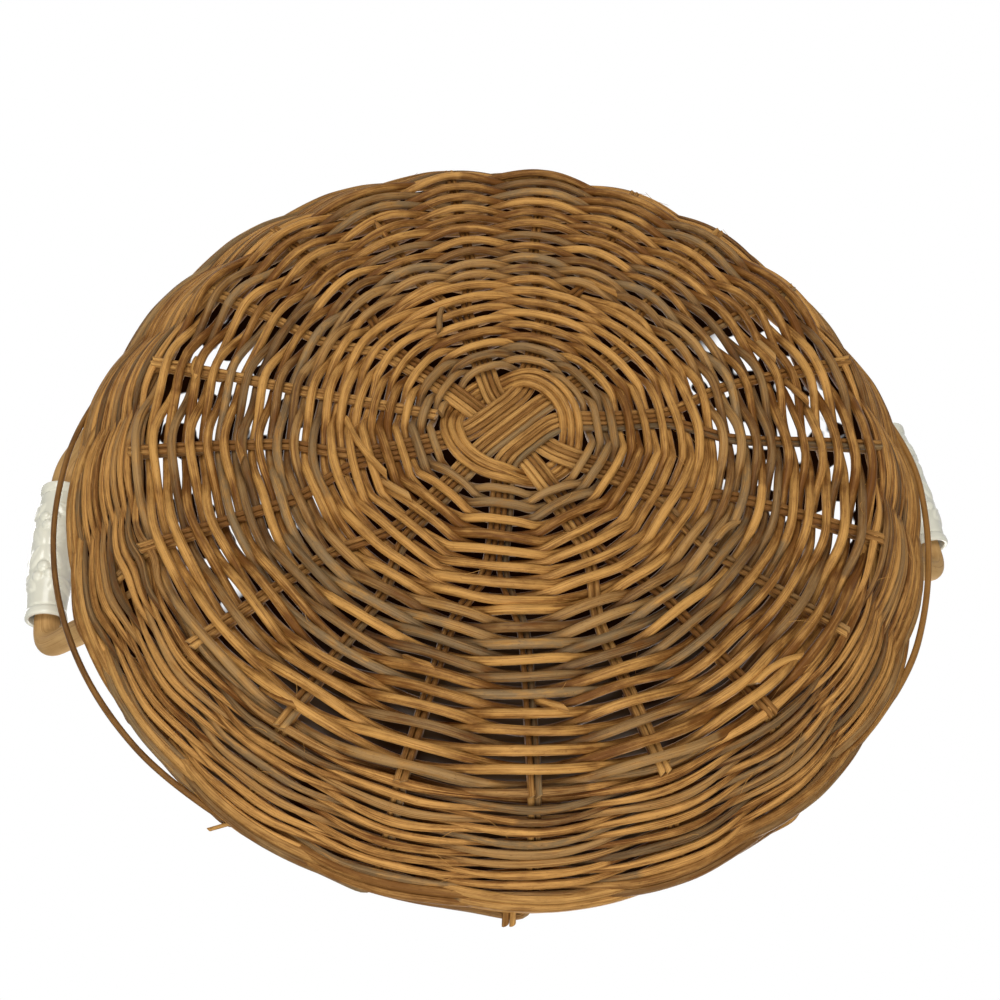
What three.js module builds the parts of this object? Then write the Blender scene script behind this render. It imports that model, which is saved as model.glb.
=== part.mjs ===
// Round woven cane serving basket with a glazed ceramic sleeve on each of its two handles.
// Millimetres, +Z up. The origin is the middle of the base, on the surface that the basket stands on.
// Every cane has a square section of the same area as the round cane, so that the weave stays light.
import * as THREE from 'three';

// Cane diameters, and the gap that neighbouring canes keep
const BASE_CANE = 2.6;
const BASE_WEAVER = 3.6;
const BINDING_CANE = 2.6;
const SIDE_STAKE = 2.8;
const SIDE_WEAVER = 2.3;
const HOOP_CANE = 2.7;
const CLEARANCE = 0.35;

// Base: radii of its rings of work, and the cross of two bundles in its middle
const SPOKES = 21;
const UPPER_CANES = 8;
const LOWER_CANES = 12;
const GROUP_CANES = 4;
const UPPER_CROSS_ANGLE = THREE.MathUtils.degToRad(55);
const LOWER_CROSS_ANGLE = THREE.MathUtils.degToRad(143);
const CROSS_REACH = 19;
const FAN_PASSES = 6;
const BINDING_RADIUS = 25.5;
const BINDING_ROUNDS = 3;
const GROUP_RADIUS = 46;
const SPLIT_RADIUS = 74;
const SPLIT_END_RADIUS = 100;
const OUTER_WEAVE_RADIUS = 88.5;
const BASE_RADIUS = 163;
const SPOKE_END_OVERHANG = 4;
const FOOT_ROUNDS = 2;

// Side: where the stakes are tucked into the base, the flare of the wall and its length up the slope.
// The wall leans in a little on the left, where use has pushed it.
const TUCK_LENGTH = 32;
const BEND_OVERHANG = 3;
const WALL_ANGLE = THREE.MathUtils.degToRad(44);
const WALL_LEAN = THREE.MathUtils.degToRad(8);
const LEAN_SHARPNESS = 2;
const WALL_LENGTH = 50;
const FIRST_SIDE_ROW = 2.5;
const BORDER_STEPS = 2.45;

// Loose hoop round the rim: how far it stands off beside the handles
const HOOP_STAND_OFF = 4;

// Handles: a bent bow with its legs inside the wall, and a loose ceramic sleeve
const BOW_DIAMETER = 12;
const BOW_LEG_SPAN = 114;
const BOW_TOP_SPAN = 102;
const BOW_CORNER_RADIUS = 14;
const BOW_LEG_START = 16;
const BOW_RIM_RISE = 9;
const GRIP_RISE = 45;
const RIGHT_GRIP_OVERHANG = 20;
const LEFT_GRIP_OVERHANG = 21;
const SLEEVE_LENGTH = 74;
const SLEEVE_DIAMETER = 19;
const SLEEVE_SWELL = 1.4;
const SLEEVE_BORE = 15;
const SLEEVE_COLLAR = 5;
const SLEEVE_ARCH = 1.2;

// How finely the rounded pieces are divided
const HOOP_STEPS = 42;
const HOOP_SIDES = 6;
const BOW_SIDES = 8;
const CORNER_STEPS = 4;
const SLEEVE_SIDES = 20;
const SLEEVE_RINGS = 8;

// Finishes
const WEAVER_FINISH = { color: 0xa9773f, roughness: 0.65 };
const SPOKE_FINISH = { color: 0xb98a52, roughness: 0.7 };
const HOOP_FINISH = { color: 0x8a5f33, roughness: 0.6 };
const BOW_FINISH = { color: 0xcaa06a, roughness: 0.7 };
const GLAZE_FINISH = { color: 0xf1eee3, roughness: 0.25 };

const TURN = 2 * Math.PI;
const GROUPS = (SPOKES + 1) / 2;
const SPOKE_STEP = TURN / SPOKES;
const GROUP_STEP = TURN / GROUPS;
const UP = new THREE.Vector3(0, 0, 1);

/** Half the side of a square with the area of a round cane. */
const squareHalf = (diameter) => (diameter * Math.sqrt(Math.PI)) / 4;

const caneHalf = squareHalf(BASE_CANE);
const weaverHalf = squareHalf(BASE_WEAVER);
const bindingHalf = squareHalf(BINDING_CANE);
const stakeHalf = squareHalf(SIDE_STAKE);
const sideHalf = squareHalf(SIDE_WEAVER);
const canePitch = 2 * caneHalf + CLEARANCE;
const stakePitch = 2 * stakeHalf + CLEARANCE;
const pairHalf = canePitch / 2 + caneHalf;
const bindingPitch = 2 * bindingHalf + CLEARANCE;
const bindingEnd = BINDING_RADIUS + BINDING_ROUNDS * bindingPitch;
const layerOffset = caneHalf + CLEARANCE / 2;

/** Distance between two neighbouring spokes at a radius. */
const spokeSpacing = (radius) => 2 * radius * Math.sin(SPOKE_STEP / 2);

// The weaver crosses a spoke at a crease, so it rides a little higher to clear the spoke's edges.
const baseSwing =
  (caneHalf + CLEARANCE + weaverHalf) / (1 - (2 * pairHalf) / spokeSpacing(SPLIT_END_RADIUS));
const rowPitch = (2 * weaverHalf + CLEARANCE) / Math.cos(GROUP_STEP / 2);
const spokeEndRadius = BASE_RADIUS + SPOKE_END_OVERHANG;
const bendRadius = BASE_RADIUS + BEND_OVERHANG;
const tuckRadius = bendRadius - TUCK_LENGTH;
const spokeLevel = weaverHalf + baseSwing;
const tuckLevel = spokeLevel + caneHalf + CLEARANCE + stakeHalf;

/** A point in the plane of the base. */
const polar = (radius, angle, z = 0) =>
  new THREE.Vector3(radius * Math.cos(angle), radius * Math.sin(angle), z);

/** A point at a radius along a direction, moved sideways by an offset. */
function besideRay(radius, angle, offset, z) {
  return polar(radius, angle, z).addScaledVector(polar(1, angle + Math.PI / 2), offset);
}

/** A closed mesh from rings of points: a tube with capped ends, or a loop without ends. */
function skin(rings, loop = false) {
  const sides = rings[0].length;
  const positions = rings.flat().flatMap((point) => point.toArray());
  const triangles = [];
  const spans = loop ? rings.length : rings.length - 1;
  for (let ring = 0; ring < spans; ring += 1) {
    const here = ring * sides;
    const next = ((ring + 1) % rings.length) * sides;
    for (let side = 0; side < sides; side += 1) {
      const other = (side + 1) % sides;
      triangles.push(here + side, here + other, next + other);
      triangles.push(here + side, next + other, next + side);
    }
  }
  if (!loop) {
    const last = (rings.length - 1) * sides;
    for (let side = 1; side < sides - 1; side += 1) {
      triangles.push(0, side + 1, side);
      triangles.push(last, last + side, last + side + 1);
    }
  }
  const geometry = new THREE.BufferGeometry();
  geometry.setAttribute('position', new THREE.Float32BufferAttribute(positions, 3));
  geometry.setIndex(triangles);
  geometry.computeVertexNormals();
  return geometry;
}

/** Corners of a section in its own plane: across is measured along the surface, out along its normal. */
const squareSection = (half) => [[-half, -half], [-half, half], [half, half], [half, -half]];

/** Corners of a regular section with the given number of sides. */
function roundSection(radius, sides) {
  const corner = (index) => (TURN * (index + 0.5)) / sides;
  return Array.from({ length: sides }, (_, index) => [
    -radius * Math.cos(corner(index)),
    radius * Math.sin(corner(index)),
  ]);
}

/** A section swept along points with mitred bends, its out side turned to the normal at each point. */
function sweep(points, normals, section, loop = false) {
  const count = points.length;
  const direction = (from, to) => points[to].clone().sub(points[from]).normalize();
  const rings = points.map((point, index) => {
    const before = (index + count - 1) % count;
    const after = (index + 1) % count;
    const first = !loop && index === 0;
    const last = !loop && index === count - 1;
    const arriving = first ? direction(index, after) : direction(before, index);
    const leaving = last ? arriving : direction(index, after);
    const tangent = arriving.clone().add(leaving).normalize();
    const out = normals[index].clone().addScaledVector(tangent, -normals[index].dot(tangent)).normalize();
    const across = new THREE.Vector3().crossVectors(tangent, out);
    const bend = leaving.clone().sub(arriving);
    const stretch = 1 / tangent.dot(leaving) - 1;
    bend.normalize();
    return section.map(([alongSurface, alongNormal]) => {
      const offset = across.clone().multiplyScalar(alongSurface).addScaledVector(out, alongNormal);
      offset.addScaledVector(bend, offset.dot(bend) * stretch);
      return point.clone().add(offset);
    });
  });
  return skin(rings, loop);
}

const part = new THREE.Group();

/** A named piece in its own finish. */
function addPiece(name, geometry, finish, parent = part) {
  const material = new THREE.MeshStandardMaterial({ ...finish, metalness: 0, flatShading: true });
  const mesh = new THREE.Mesh(geometry, material);
  mesh.name = name;
  parent.add(mesh);
  return mesh;
}

/** Name of one of a numbered set. */
const numbered = (name, index) => `${name}_${String(index + 1).padStart(2, '0')}`;

// Cross and spokes.
// Two bundles cross in the middle. Each bundle's ends fan out into groups of four canes, which part into
// pairs further out. One pair pushed in beside the cross brings the spokes to an odd number.
const spokeAngle = (spoke) => SPOKE_STEP * (spoke + 1);
const groupAngle = (group) => spokeAngle(group === 0 ? 0 : 2 * group - 0.5);

/** A line in plan: its direction, and how far it passes to the left of the origin. */
const lineThrough = (point, angle) => ({
  angle,
  offset: point.y * Math.cos(angle) - point.x * Math.sin(angle),
});

/** Where two lines in plan meet, at a level. */
function meet(one, other, level) {
  const sweepAngle = Math.sin(other.angle - one.angle);
  const x = (one.offset * Math.cos(other.angle) - other.offset * Math.cos(one.angle)) / sweepAngle;
  const y = (one.offset * Math.sin(other.angle) - other.offset * Math.sin(one.angle)) / sweepAngle;
  return new THREE.Vector3(x, y, level);
}

/** The direction from one point to another in plan. */
const bearing = (from, to) => Math.atan2(to.y - from.y, to.x - from.x);

/** Plan points of one cane end, from the edge of the cross outwards, along lines a cane's pitch apart. */
function fanOut(start, fanAngle, spoke, half) {
  const pairOffset = (half - 0.5) * canePitch;
  const pairPlace = spoke % 2 === 0 ? canePitch : -canePitch;
  const groupRay = groupAngle(Math.ceil(spoke / 2));
  const groupLine = { angle: groupRay, offset: pairPlace + pairOffset };
  const splitFrom = besideRay(SPLIT_RADIUS, groupRay, pairPlace);
  const splitLine = lineThrough(splitFrom, bearing(splitFrom, polar(SPLIT_END_RADIUS, spokeAngle(spoke))));
  splitLine.offset += pairOffset;
  const spokeLine = { angle: spokeAngle(spoke), offset: pairOffset };
  return [
    start,
    meet(lineThrough(start, fanAngle), groupLine, spokeLevel),
    meet(groupLine, splitLine, spokeLevel),
    meet(splitLine, spokeLine, spokeLevel),
    besideRay(spokeEndRadius, spokeAngle(spoke), pairOffset, spokeLevel),
  ];
}

/**
 * The cane ends on one side of a bundle, in order to the left, each from the bend where it fans out.
 * The bends are staggered so that turning canes stay a pitch apart. The turns depend on where the bends
 * are, so both are settled in a few passes.
 */
function fanSide({ canes, angle, level }, firstSpoke) {
  const places = Array.from({ length: canes }, (_, place) => place);
  const offsetOf = (place) => (place - (canes - 1) / 2) * canePitch;
  const turnOf = (place, reaches) => {
    const block = Math.floor(place / GROUP_CANES);
    const middle = (block + 0.5) * GROUP_CANES - 0.5;
    const reach = (reaches[Math.floor(middle)] + reaches[Math.ceil(middle)]) / 2;
    const target = polar(GROUP_RADIUS, groupAngle((firstSpoke + 1) / 2 + block));
    const turn = bearing(besideRay(reach, angle, offsetOf(middle)), target) - angle;
    return turn - TURN * Math.round(turn / TURN);
  };
  let reaches = places.map(() => CROSS_REACH);
  let turns = [];
  for (let pass = 0; pass < FAN_PASSES; pass += 1) {
    turns = places.map((place) => turnOf(place, reaches));
    const staggered = [0];
    for (let place = 1; place < canes; place += 1) {
      const mitre = Math.tan((turns[place - 1] + turns[place]) / 4);
      staggered.push(staggered[place - 1] - canePitch * mitre);
    }
    const shift = CROSS_REACH - Math.max(...staggered);
    reaches = staggered.map((reach) => reach + shift);
  }
  return places.map((place) => {
    const start = besideRay(reaches[place], angle, offsetOf(place), level);
    return fanOut(start, angle + turns[place], firstSpoke + Math.floor(place / 2), place % 2);
  });
}

/** The angle at which a cane end passes a radius. */
function angleAt(path, radius) {
  const reach = (point) => Math.hypot(point.x, point.y);
  let index = 1;
  while (index < path.length - 1 && reach(path[index]) < radius) index += 1;
  const [from, to] = [path[index - 1], path[index]];
  const share = (radius - reach(from)) / (reach(to) - reach(from));
  const point = from.clone().lerp(to, Math.max(share, 0));
  return Math.atan2(point.y, point.x);
}

const bundles = [
  {
    name: 'upper_cross_cane',
    canes: UPPER_CANES,
    angle: UPPER_CROSS_ANGLE,
    level: spokeLevel + layerOffset,
    firstSpoke: 1,
  },
  {
    name: 'lower_cross_cane',
    canes: LOWER_CANES,
    angle: LOWER_CROSS_ANGLE,
    level: spokeLevel - layerOffset,
    firstSpoke: 1 + UPPER_CANES / 2,
  },
];
const nearSides = [];
const farSides = [];
for (const bundle of bundles) {
  const opposite = { ...bundle, angle: bundle.angle + Math.PI };
  const near = fanSide(bundle, bundle.firstSpoke);
  const far = fanSide(opposite, bundle.firstSpoke + (UPPER_CANES + LOWER_CANES) / 2);
  nearSides.push(near);
  farSides.push(far);
  for (let cane = 0; cane < bundle.canes; cane += 1) {
    const points = [...near[cane].slice().reverse(), ...far[bundle.canes - 1 - cane]];
    const normals = points.map(() => UP);
    addPiece(numbered(bundle.name, cane), sweep(points, normals, squareSection(caneHalf)), SPOKE_FINISH);
  }
}
const bundleSides = [...nearSides, ...farSides];
const spokeEnds = [[]];
for (const ends of bundleSides) {
  for (let place = 0; place < ends.length; place += 2) spokeEnds.push(ends.slice(place, place + 2));
}

// The short pair that is pushed in beside the cross
const insertedStart = bindingEnd + caneHalf;
for (let half = 0; half < 2; half += 1) {
  const offset = (half - 0.5) * canePitch;
  const path = [insertedStart, spokeEndRadius].map((radius) =>
    besideRay(radius, spokeAngle(0), offset, spokeLevel),
  );
  spokeEnds[0].push(path);
  const geometry = sweep(path, [UP, UP], squareSection(caneHalf));
  addPiece(numbered('inserted_cane', half), geometry, SPOKE_FINISH);
}

// Base weave.
// One cane goes over one band of canes and under the next, round and round.
const groupBands = [spokeEnds[0]];
for (let group = 1; group < GROUPS; group += 1) {
  groupBands.push([...spokeEnds[2 * group - 1], ...spokeEnds[2 * group]]);
}

/** The two edges of a band where a weaver crosses it, as angles that follow on from the turns so far. */
function bandEdges(band, radius, half, angleBefore) {
  const base = angleAt(band[0], radius);
  const lead = base + TURN * Math.ceil((angleBefore - base) / TURN);
  const crossed = band.flatMap((path) => [angleAt(path, radius - half), angleAt(path, radius + half)]);
  const angles = crossed.map((angle) => {
    const away = angle - base;
    return lead + away - TURN * Math.round(away / TURN);
  });
  const margin = (caneHalf * Math.SQRT2 + CLEARANCE) / radius;
  return [Math.min(...angles) - margin, Math.max(...angles) + margin];
}

/** One weaver wound over and under the bands. Flat crossings lie level over a band, others crease. */
function weaveBase({ bands, fromRadius, toRadius, pitch, half, swing, startsUp, isFlat }) {
  const points = [];
  const crossings = Math.round(((toRadius - fromRadius) / pitch) * bands.length);
  let angleBefore = -Math.PI / bands.length;
  for (let crossing = 0; crossing <= crossings; crossing += 1) {
    const radius = fromRadius + (pitch * crossing) / bands.length;
    const edges = bandEdges(bands[crossing % bands.length], radius, half, angleBefore);
    const goesUp = (crossing % 2 === 0) === startsUp;
    const slope = (swing.up(radius) + swing.down) / (spokeSpacing(radius) - 2 * pairHalf);
    const crease = isFlat(radius) ? 0 : half * (Math.hypot(1, slope) - 1);
    const height = goesUp ? swing.up(radius) - crease : crease - swing.down;
    const angles = isFlat(radius) ? edges : [(edges[0] + edges[1]) / 2];
    points.push(...angles.map((angle) => polar(radius, angle, spokeLevel + height)));
    angleBefore = (edges[0] + edges[1]) / 2;
  }
  const normals = points.map(() => UP);
  return sweep(points, normals, squareSection(half));
}

const bindingSwing = layerOffset + caneHalf + CLEARANCE + bindingHalf;
const innerStart = bindingEnd + bindingHalf + CLEARANCE + weaverHalf;
const innerRounds = Math.floor((OUTER_WEAVE_RADIUS - innerStart) / rowPitch);
const tuckStart = tuckRadius - weaverHalf - CLEARANCE;
const footRadius = BASE_RADIUS - FOOT_ROUNDS * rowPitch;

addPiece(
  'cross_binding',
  weaveBase({
    bands: bundleSides,
    fromRadius: BINDING_RADIUS,
    toRadius: bindingEnd,
    pitch: bindingPitch,
    half: bindingHalf,
    swing: { up: () => bindingSwing, down: bindingSwing },
    startsUp: true,
    isFlat: () => true,
  }),
  WEAVER_FINISH,
);
addPiece(
  'base_weaver_inner',
  weaveBase({
    bands: groupBands,
    fromRadius: OUTER_WEAVE_RADIUS - innerRounds * rowPitch,
    toRadius: OUTER_WEAVE_RADIUS - (2 * rowPitch) / GROUPS,
    pitch: rowPitch,
    half: weaverHalf,
    swing: { up: () => baseSwing, down: baseSwing },
    startsUp: false,
    isFlat: () => true,
  }),
  WEAVER_FINISH,
);
addPiece(
  'base_weaver_outer',
  weaveBase({
    bands: spokeEnds,
    fromRadius: OUTER_WEAVE_RADIUS,
    toRadius: BASE_RADIUS,
    pitch: rowPitch,
    half: weaverHalf,
    swing: { up: (radius) => baseSwing + (radius > tuckStart ? stakePitch : 0), down: baseSwing },
    startsUp: true,
    isFlat: (radius) => radius < SPLIT_END_RADIUS || radius > footRadius,
  }),
  WEAVER_FINISH,
);

// Side stakes and border.
// A stake is tucked in above each spoke, bends up the wall and turns along the rim: inside the next stake
// and outside the one after. It drops by its own thickness from stake to stake, so the tails lie clear.
/** How steeply the wall stands at an angle round the basket. */
const wallPitch = (angle) => WALL_ANGLE + WALL_LEAN * ((1 - Math.cos(angle)) / 2) ** LEAN_SHARPNESS;

/** A point of the wall: up its slope, and out from the line of the stakes. */
function onWall(angle, slope, out) {
  const pitch = wallPitch(angle);
  const radius = bendRadius + slope * Math.cos(pitch) + out * Math.sin(pitch);
  return polar(radius, angle, tuckLevel + slope * Math.sin(pitch) - out * Math.cos(pitch));
}

/** The direction out of the wall. */
const wallNormal = (angle) => polar(Math.sin(wallPitch(angle)), angle, -Math.cos(wallPitch(angle)));

const down = UP.clone().negate();
for (let spoke = 0; spoke < SPOKES; spoke += 1) {
  const at = (step) => spokeAngle(spoke) + step * SPOKE_STEP;
  const lowest = WALL_LENGTH - 2 * stakePitch;
  const outsideNext = onWall(at(2), lowest, stakePitch);
  const outsideAfter = onWall(at(3), lowest, stakePitch);
  const points = [
    polar(tuckRadius, at(0), tuckLevel),
    onWall(at(0), 0, 0),
    onWall(at(0), WALL_LENGTH, 0),
    onWall(at(1), WALL_LENGTH - stakePitch, -stakePitch),
    outsideNext,
    outsideNext.clone().lerp(outsideAfter, BORDER_STEPS - 2),
  ];
  const cornerNormal = wallNormal(at(0)).add(down).normalize();
  const normals = [down, cornerNormal, ...[0, 1, 2, BORDER_STEPS].map((step) => wallNormal(at(step)))];
  addPiece(numbered('side_stake', spoke), sweep(points, normals, squareSection(stakeHalf)), SPOKE_FINISH);
}

// Side weave.
const sideSwing =
  (stakeHalf + CLEARANCE + sideHalf) / (1 - (2 * stakeHalf) / spokeSpacing(bendRadius));
const sidePitch = (2 * sideHalf + CLEARANCE) / Math.cos(SPOKE_STEP / 2);
const lastSideRow = WALL_LENGTH - 2 * stakePitch - stakeHalf - CLEARANCE - sideHalf;
const sideCrossings = Math.floor(((lastSideRow - FIRST_SIDE_ROW) / sidePitch) * SPOKES);
const sidePoints = [];
const sideNormals = [];
for (let crossing = 0; crossing <= sideCrossings; crossing += 1) {
  const angle = spokeAngle(crossing);
  const slope = FIRST_SIDE_ROW + (sidePitch * crossing) / SPOKES;
  sidePoints.push(onWall(angle, slope, crossing % 2 === 0 ? sideSwing : -sideSwing));
  sideNormals.push(wallNormal(angle));
}
addPiece('side_weaver', sweep(sidePoints, sideNormals, squareSection(sideHalf)), WEAVER_FINISH);

// Hoop round the rim.
// It lies against the border at the front and back, and stands off at the handles.
const hoopSlope = WALL_LENGTH - 2 * stakePitch + stakeHalf;
const hoopPoints = [];
const hoopNormals = [];
for (let step = 0; step < HOOP_STEPS; step += 1) {
  const angle = (TURN * step) / HOOP_STEPS;
  const seat = onWall(angle, hoopSlope, stakePitch + stakeHalf);
  const near = (Math.hypot(seat.x, seat.y) + CLEARANCE + HOOP_CANE / 2) / Math.cos(Math.PI / HOOP_STEPS);
  hoopPoints.push(polar(near + HOOP_STAND_OFF * Math.cos(angle) ** 2, angle, seat.z));
  hoopNormals.push(polar(1, angle));
}
const hoopSection = roundSection(HOOP_CANE / 2, HOOP_SIDES);
addPiece('rim_hoop', sweep(hoopPoints, hoopNormals, hoopSection, true), HOOP_FINISH);

// Handles.
/** Where a leg of the handle at a turn lies inside the wall, up the slope and across the handle. */
function insideWall(turn, slope, across) {
  const wallInside = Math.max(sideSwing + sideHalf, stakePitch + stakeHalf);
  const inward = -(wallInside + CLEARANCE + BOW_DIAMETER / 2);
  const middle = onWall(turn, slope, inward);
  const leg = onWall(turn + Math.asin(across / Math.hypot(middle.x, middle.y)), slope, inward);
  return new THREE.Vector3(Math.sqrt(leg.x ** 2 + leg.y ** 2 - across ** 2), across, leg.z);
}

const gripHeight = onWall(0, WALL_LENGTH, 0).z + GRIP_RISE;

/** The bow of the handle at a turn, from leg end to leg end, with the grip at the given reach. */
function bowGeometry(turn, reach) {
  const half = [-1, 1].map((side) => {
    const leg = insideWall(turn, BOW_LEG_START, (side * BOW_LEG_SPAN) / 2);
    const neck = insideWall(turn, WALL_LENGTH + BOW_RIM_RISE, (side * BOW_LEG_SPAN) / 2);
    const corner = new THREE.Vector3(reach, (side * BOW_TOP_SPAN) / 2, gripHeight);
    const middle = new THREE.Vector3(reach, 0, gripHeight);
    const bendStart = corner.clone().lerp(neck, BOW_CORNER_RADIUS / corner.distanceTo(neck));
    const bendEnd = corner.clone().lerp(middle, BOW_CORNER_RADIUS / corner.distanceTo(middle));
    const bend = new THREE.QuadraticBezierCurve3(bendStart, corner, bendEnd);
    return [leg, neck, ...bend.getPoints(CORNER_STEPS)];
  });
  const points = [...half[0], ...half[1].reverse()];
  const lean = points[2].clone().sub(points[1]);
  const outwards = new THREE.Vector3(lean.z, 0, -lean.x).normalize();
  const normals = points.map(() => outwards);
  return sweep(points, normals, roundSection(BOW_DIAMETER / 2, BOW_SIDES));
}

/** A sleeve about its own Y axis: straight bore, swelling outside, a plain collar at each end. */
function sleeveGeometry() {
  const halfLength = SLEEVE_LENGTH / 2;
  const bodyHalf = halfLength - SLEEVE_COLLAR;
  const outside = SLEEVE_DIAMETER / 2;
  const bore = SLEEVE_BORE / 2;
  const edge = (outside - bore) / 2;
  const body = Array.from({ length: SLEEVE_RINGS + 1 }, (_, ring) => {
    const along = -1 + (2 * ring) / SLEEVE_RINGS;
    return new THREE.Vector2(outside + SLEEVE_SWELL * (1 - along ** 2) - edge / 2, along * bodyHalf);
  });
  const profile = [
    new THREE.Vector2(bore, -halfLength),
    new THREE.Vector2(outside - edge / 2, -halfLength),
    new THREE.Vector2(outside, -halfLength + edge),
    new THREE.Vector2(outside, -bodyHalf - edge / 2),
    ...body,
    new THREE.Vector2(outside, bodyHalf + edge / 2),
    new THREE.Vector2(outside, halfLength - edge),
    new THREE.Vector2(outside - edge / 2, halfLength),
    new THREE.Vector2(bore, halfLength),
    new THREE.Vector2(bore, -halfLength),
  ];
  const geometry = new THREE.LatheGeometry(profile, SLEEVE_SIDES);
  const position = geometry.attributes.position;
  for (let index = 0; index < position.count; index += 1) {
    const along = position.getY(index) / halfLength;
    const isOutside = Math.hypot(position.getX(index), position.getZ(index)) > bore + edge / 4;
    const arch = isOutside ? SLEEVE_ARCH * (1 - along ** 2) : 0;
    position.setX(index, position.getX(index) + arch);
  }
  return geometry;
}

const sleeveDrop = (SLEEVE_BORE / 2) * Math.cos(Math.PI / SLEEVE_SIDES) - BOW_DIAMETER / 2 - CLEARANCE;
const handles = [
  { side: 'right', turn: 0, overhang: RIGHT_GRIP_OVERHANG },
  { side: 'left', turn: Math.PI, overhang: LEFT_GRIP_OVERHANG },
];
for (const { side, turn, overhang } of handles) {
  const reach = Math.abs(onWall(turn, WALL_LENGTH, 0).x) + overhang;
  const handle = new THREE.Group();
  handle.rotation.z = turn;
  part.add(handle);
  addPiece(`${side}_handle_bow`, bowGeometry(turn, reach), BOW_FINISH, handle);
  const sleeve = addPiece(`${side}_handle_sleeve`, sleeveGeometry(), GLAZE_FINISH, handle);
  sleeve.position.set(reach, 0, gripHeight - sleeveDrop);
  sleeve.rotation.y = -WALL_ANGLE;
}

export default part;
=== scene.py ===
"""Looks of a round woven cane serving basket with a ceramic sleeve on each of its two handles.

Sizes in the classes are millimetres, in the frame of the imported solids: +Z up, origin in the middle of the
base, on the surface that the basket stands on. Meshes are made in metres.
"""

import logging
import math
from dataclasses import dataclass, field
from enum import Enum
from typing import Any, Callable, Iterable, NamedTuple, Sequence

import bpy
import numpy as np
from mathutils import Matrix, Vector


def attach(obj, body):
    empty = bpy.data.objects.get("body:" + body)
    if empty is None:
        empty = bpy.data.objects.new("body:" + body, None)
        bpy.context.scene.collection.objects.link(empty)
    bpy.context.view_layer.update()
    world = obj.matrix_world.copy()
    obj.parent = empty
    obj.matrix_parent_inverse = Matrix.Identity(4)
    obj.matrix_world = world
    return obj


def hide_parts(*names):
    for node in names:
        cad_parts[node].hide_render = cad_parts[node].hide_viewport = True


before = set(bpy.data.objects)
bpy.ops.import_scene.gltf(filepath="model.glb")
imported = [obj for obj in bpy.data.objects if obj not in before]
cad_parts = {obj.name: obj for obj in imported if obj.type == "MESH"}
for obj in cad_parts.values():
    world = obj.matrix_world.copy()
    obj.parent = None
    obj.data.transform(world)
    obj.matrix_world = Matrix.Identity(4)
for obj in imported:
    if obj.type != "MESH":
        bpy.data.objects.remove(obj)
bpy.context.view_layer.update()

logging.basicConfig(level=logging.INFO, format="%(message)s")
log = logging.getLogger("basket")

Colour = tuple[float, float, float]
Span = tuple[float, float]
Values = tuple[float, ...]

MM = 0.001
TURN = 2 * math.pi
UP = np.array([0.0, 0.0, 1.0])
SIDEWAYS = np.array([1.0, 0.0, 0.0])
STEEP = 0.9
SEED = 7
STRAND_MAP = "strand"
CANE_MARK = "cane"
RELIEF_MARK = "relief"
WHITE: Colour = (1.0, 1.0, 1.0)
NOISE_ROUGHNESS = 0.55


class Body(Enum):
    """The bodies that pieces ride on."""

    BASKET = "basket"
    RIGHT_SLEEVE = "right_sleeve"
    LEFT_SLEEVE = "left_sleeve"


class Slot(Enum):
    """The finishes that the record names."""

    SPOKE = "spoke_cane"
    WEAVER = "weaver_cane"
    HOOP = "hoop_cane"
    BOW = "bow_wood"
    GLAZE = "sleeve_glaze"


# Plan and wall geometry


def polar(radius: Any, angle: Any, level: Any = 0.0) -> np.ndarray:
    """Points at a radius, an angle about the upright axis and a level."""
    parts = np.broadcast_arrays(radius * np.cos(angle), radius * np.sin(angle), level)
    return np.stack(parts, axis=-1).astype(float)


def beside_ray(radius: float, angle: float, offset: float, level: float = 0.0) -> np.ndarray:
    """A point at a radius along a direction, moved sideways by an offset."""
    return polar(radius, angle, level) + offset * polar(1.0, angle + math.pi / 2)


def away_from(middle: float, angle: np.ndarray) -> np.ndarray:
    """Angles measured from a middle, the short way round."""
    return (angle - middle + math.pi) % TURN - math.pi


def smooth(share: np.ndarray) -> np.ndarray:
    """A share from 0 to 1 eased at both ends."""
    share = np.clip(share, 0.0, 1.0)
    return share * share * (3 - 2 * share)


@dataclass(frozen=True)
class Crevice:
    """Where painted shade darkens a strand that passes from the outside of the weave, 0, to the inside, 1.
    """

    start: float = 0.2
    run: float = 0.5
    shade_fade: float = 0.5
    # The painted shade eases off by half again towards the very inside.
    shade_fade_start: float = 0.7
    shade_fade_run: float = 0.3

    def painted_shade(self, share: np.ndarray) -> np.ndarray:
        """How much painted shade darkens the strand at each share of the way in."""
        held = smooth((share - self.start) / self.run)
        return held * (1 - self.shade_fade * smooth((share - self.shade_fade_start) / self.shade_fade_run))


CREVICE = Crevice()


def evenly(points: np.ndarray, step: float) -> np.ndarray:
    """A line of points laid out again at an even step.

    Args:
        points: Points along the line.
        step: Longest distance between points of the result.

    Returns:
        Points along the same line.
    """
    lengths = np.linalg.norm(np.diff(points, axis=0), axis=1)
    travel = np.concatenate([[0.0], np.cumsum(lengths)])
    count = max(2, int(math.ceil(travel[-1] / step)) + 1)
    places = np.linspace(0.0, travel[-1], count)
    return np.stack([np.interp(places, travel, points[:, axis]) for axis in range(3)], axis=1)


def eased(points: Iterable[Sequence[float]], step: float, passes: int) -> np.ndarray:
    """A line with its corners rounded off, as a bent cane rounds them.

    Args:
        points: Corners of the line.
        step: Distance between points of the result.
        passes: How often each point is drawn towards its neighbours.

    Returns:
        Points along the rounded line.
    """
    line = evenly(np.array(list(points), dtype=float), step)
    for _ in range(passes):
        line[1:-1] = 0.5 * line[1:-1] + 0.25 * (line[:-2] + line[2:])
    return line


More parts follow.
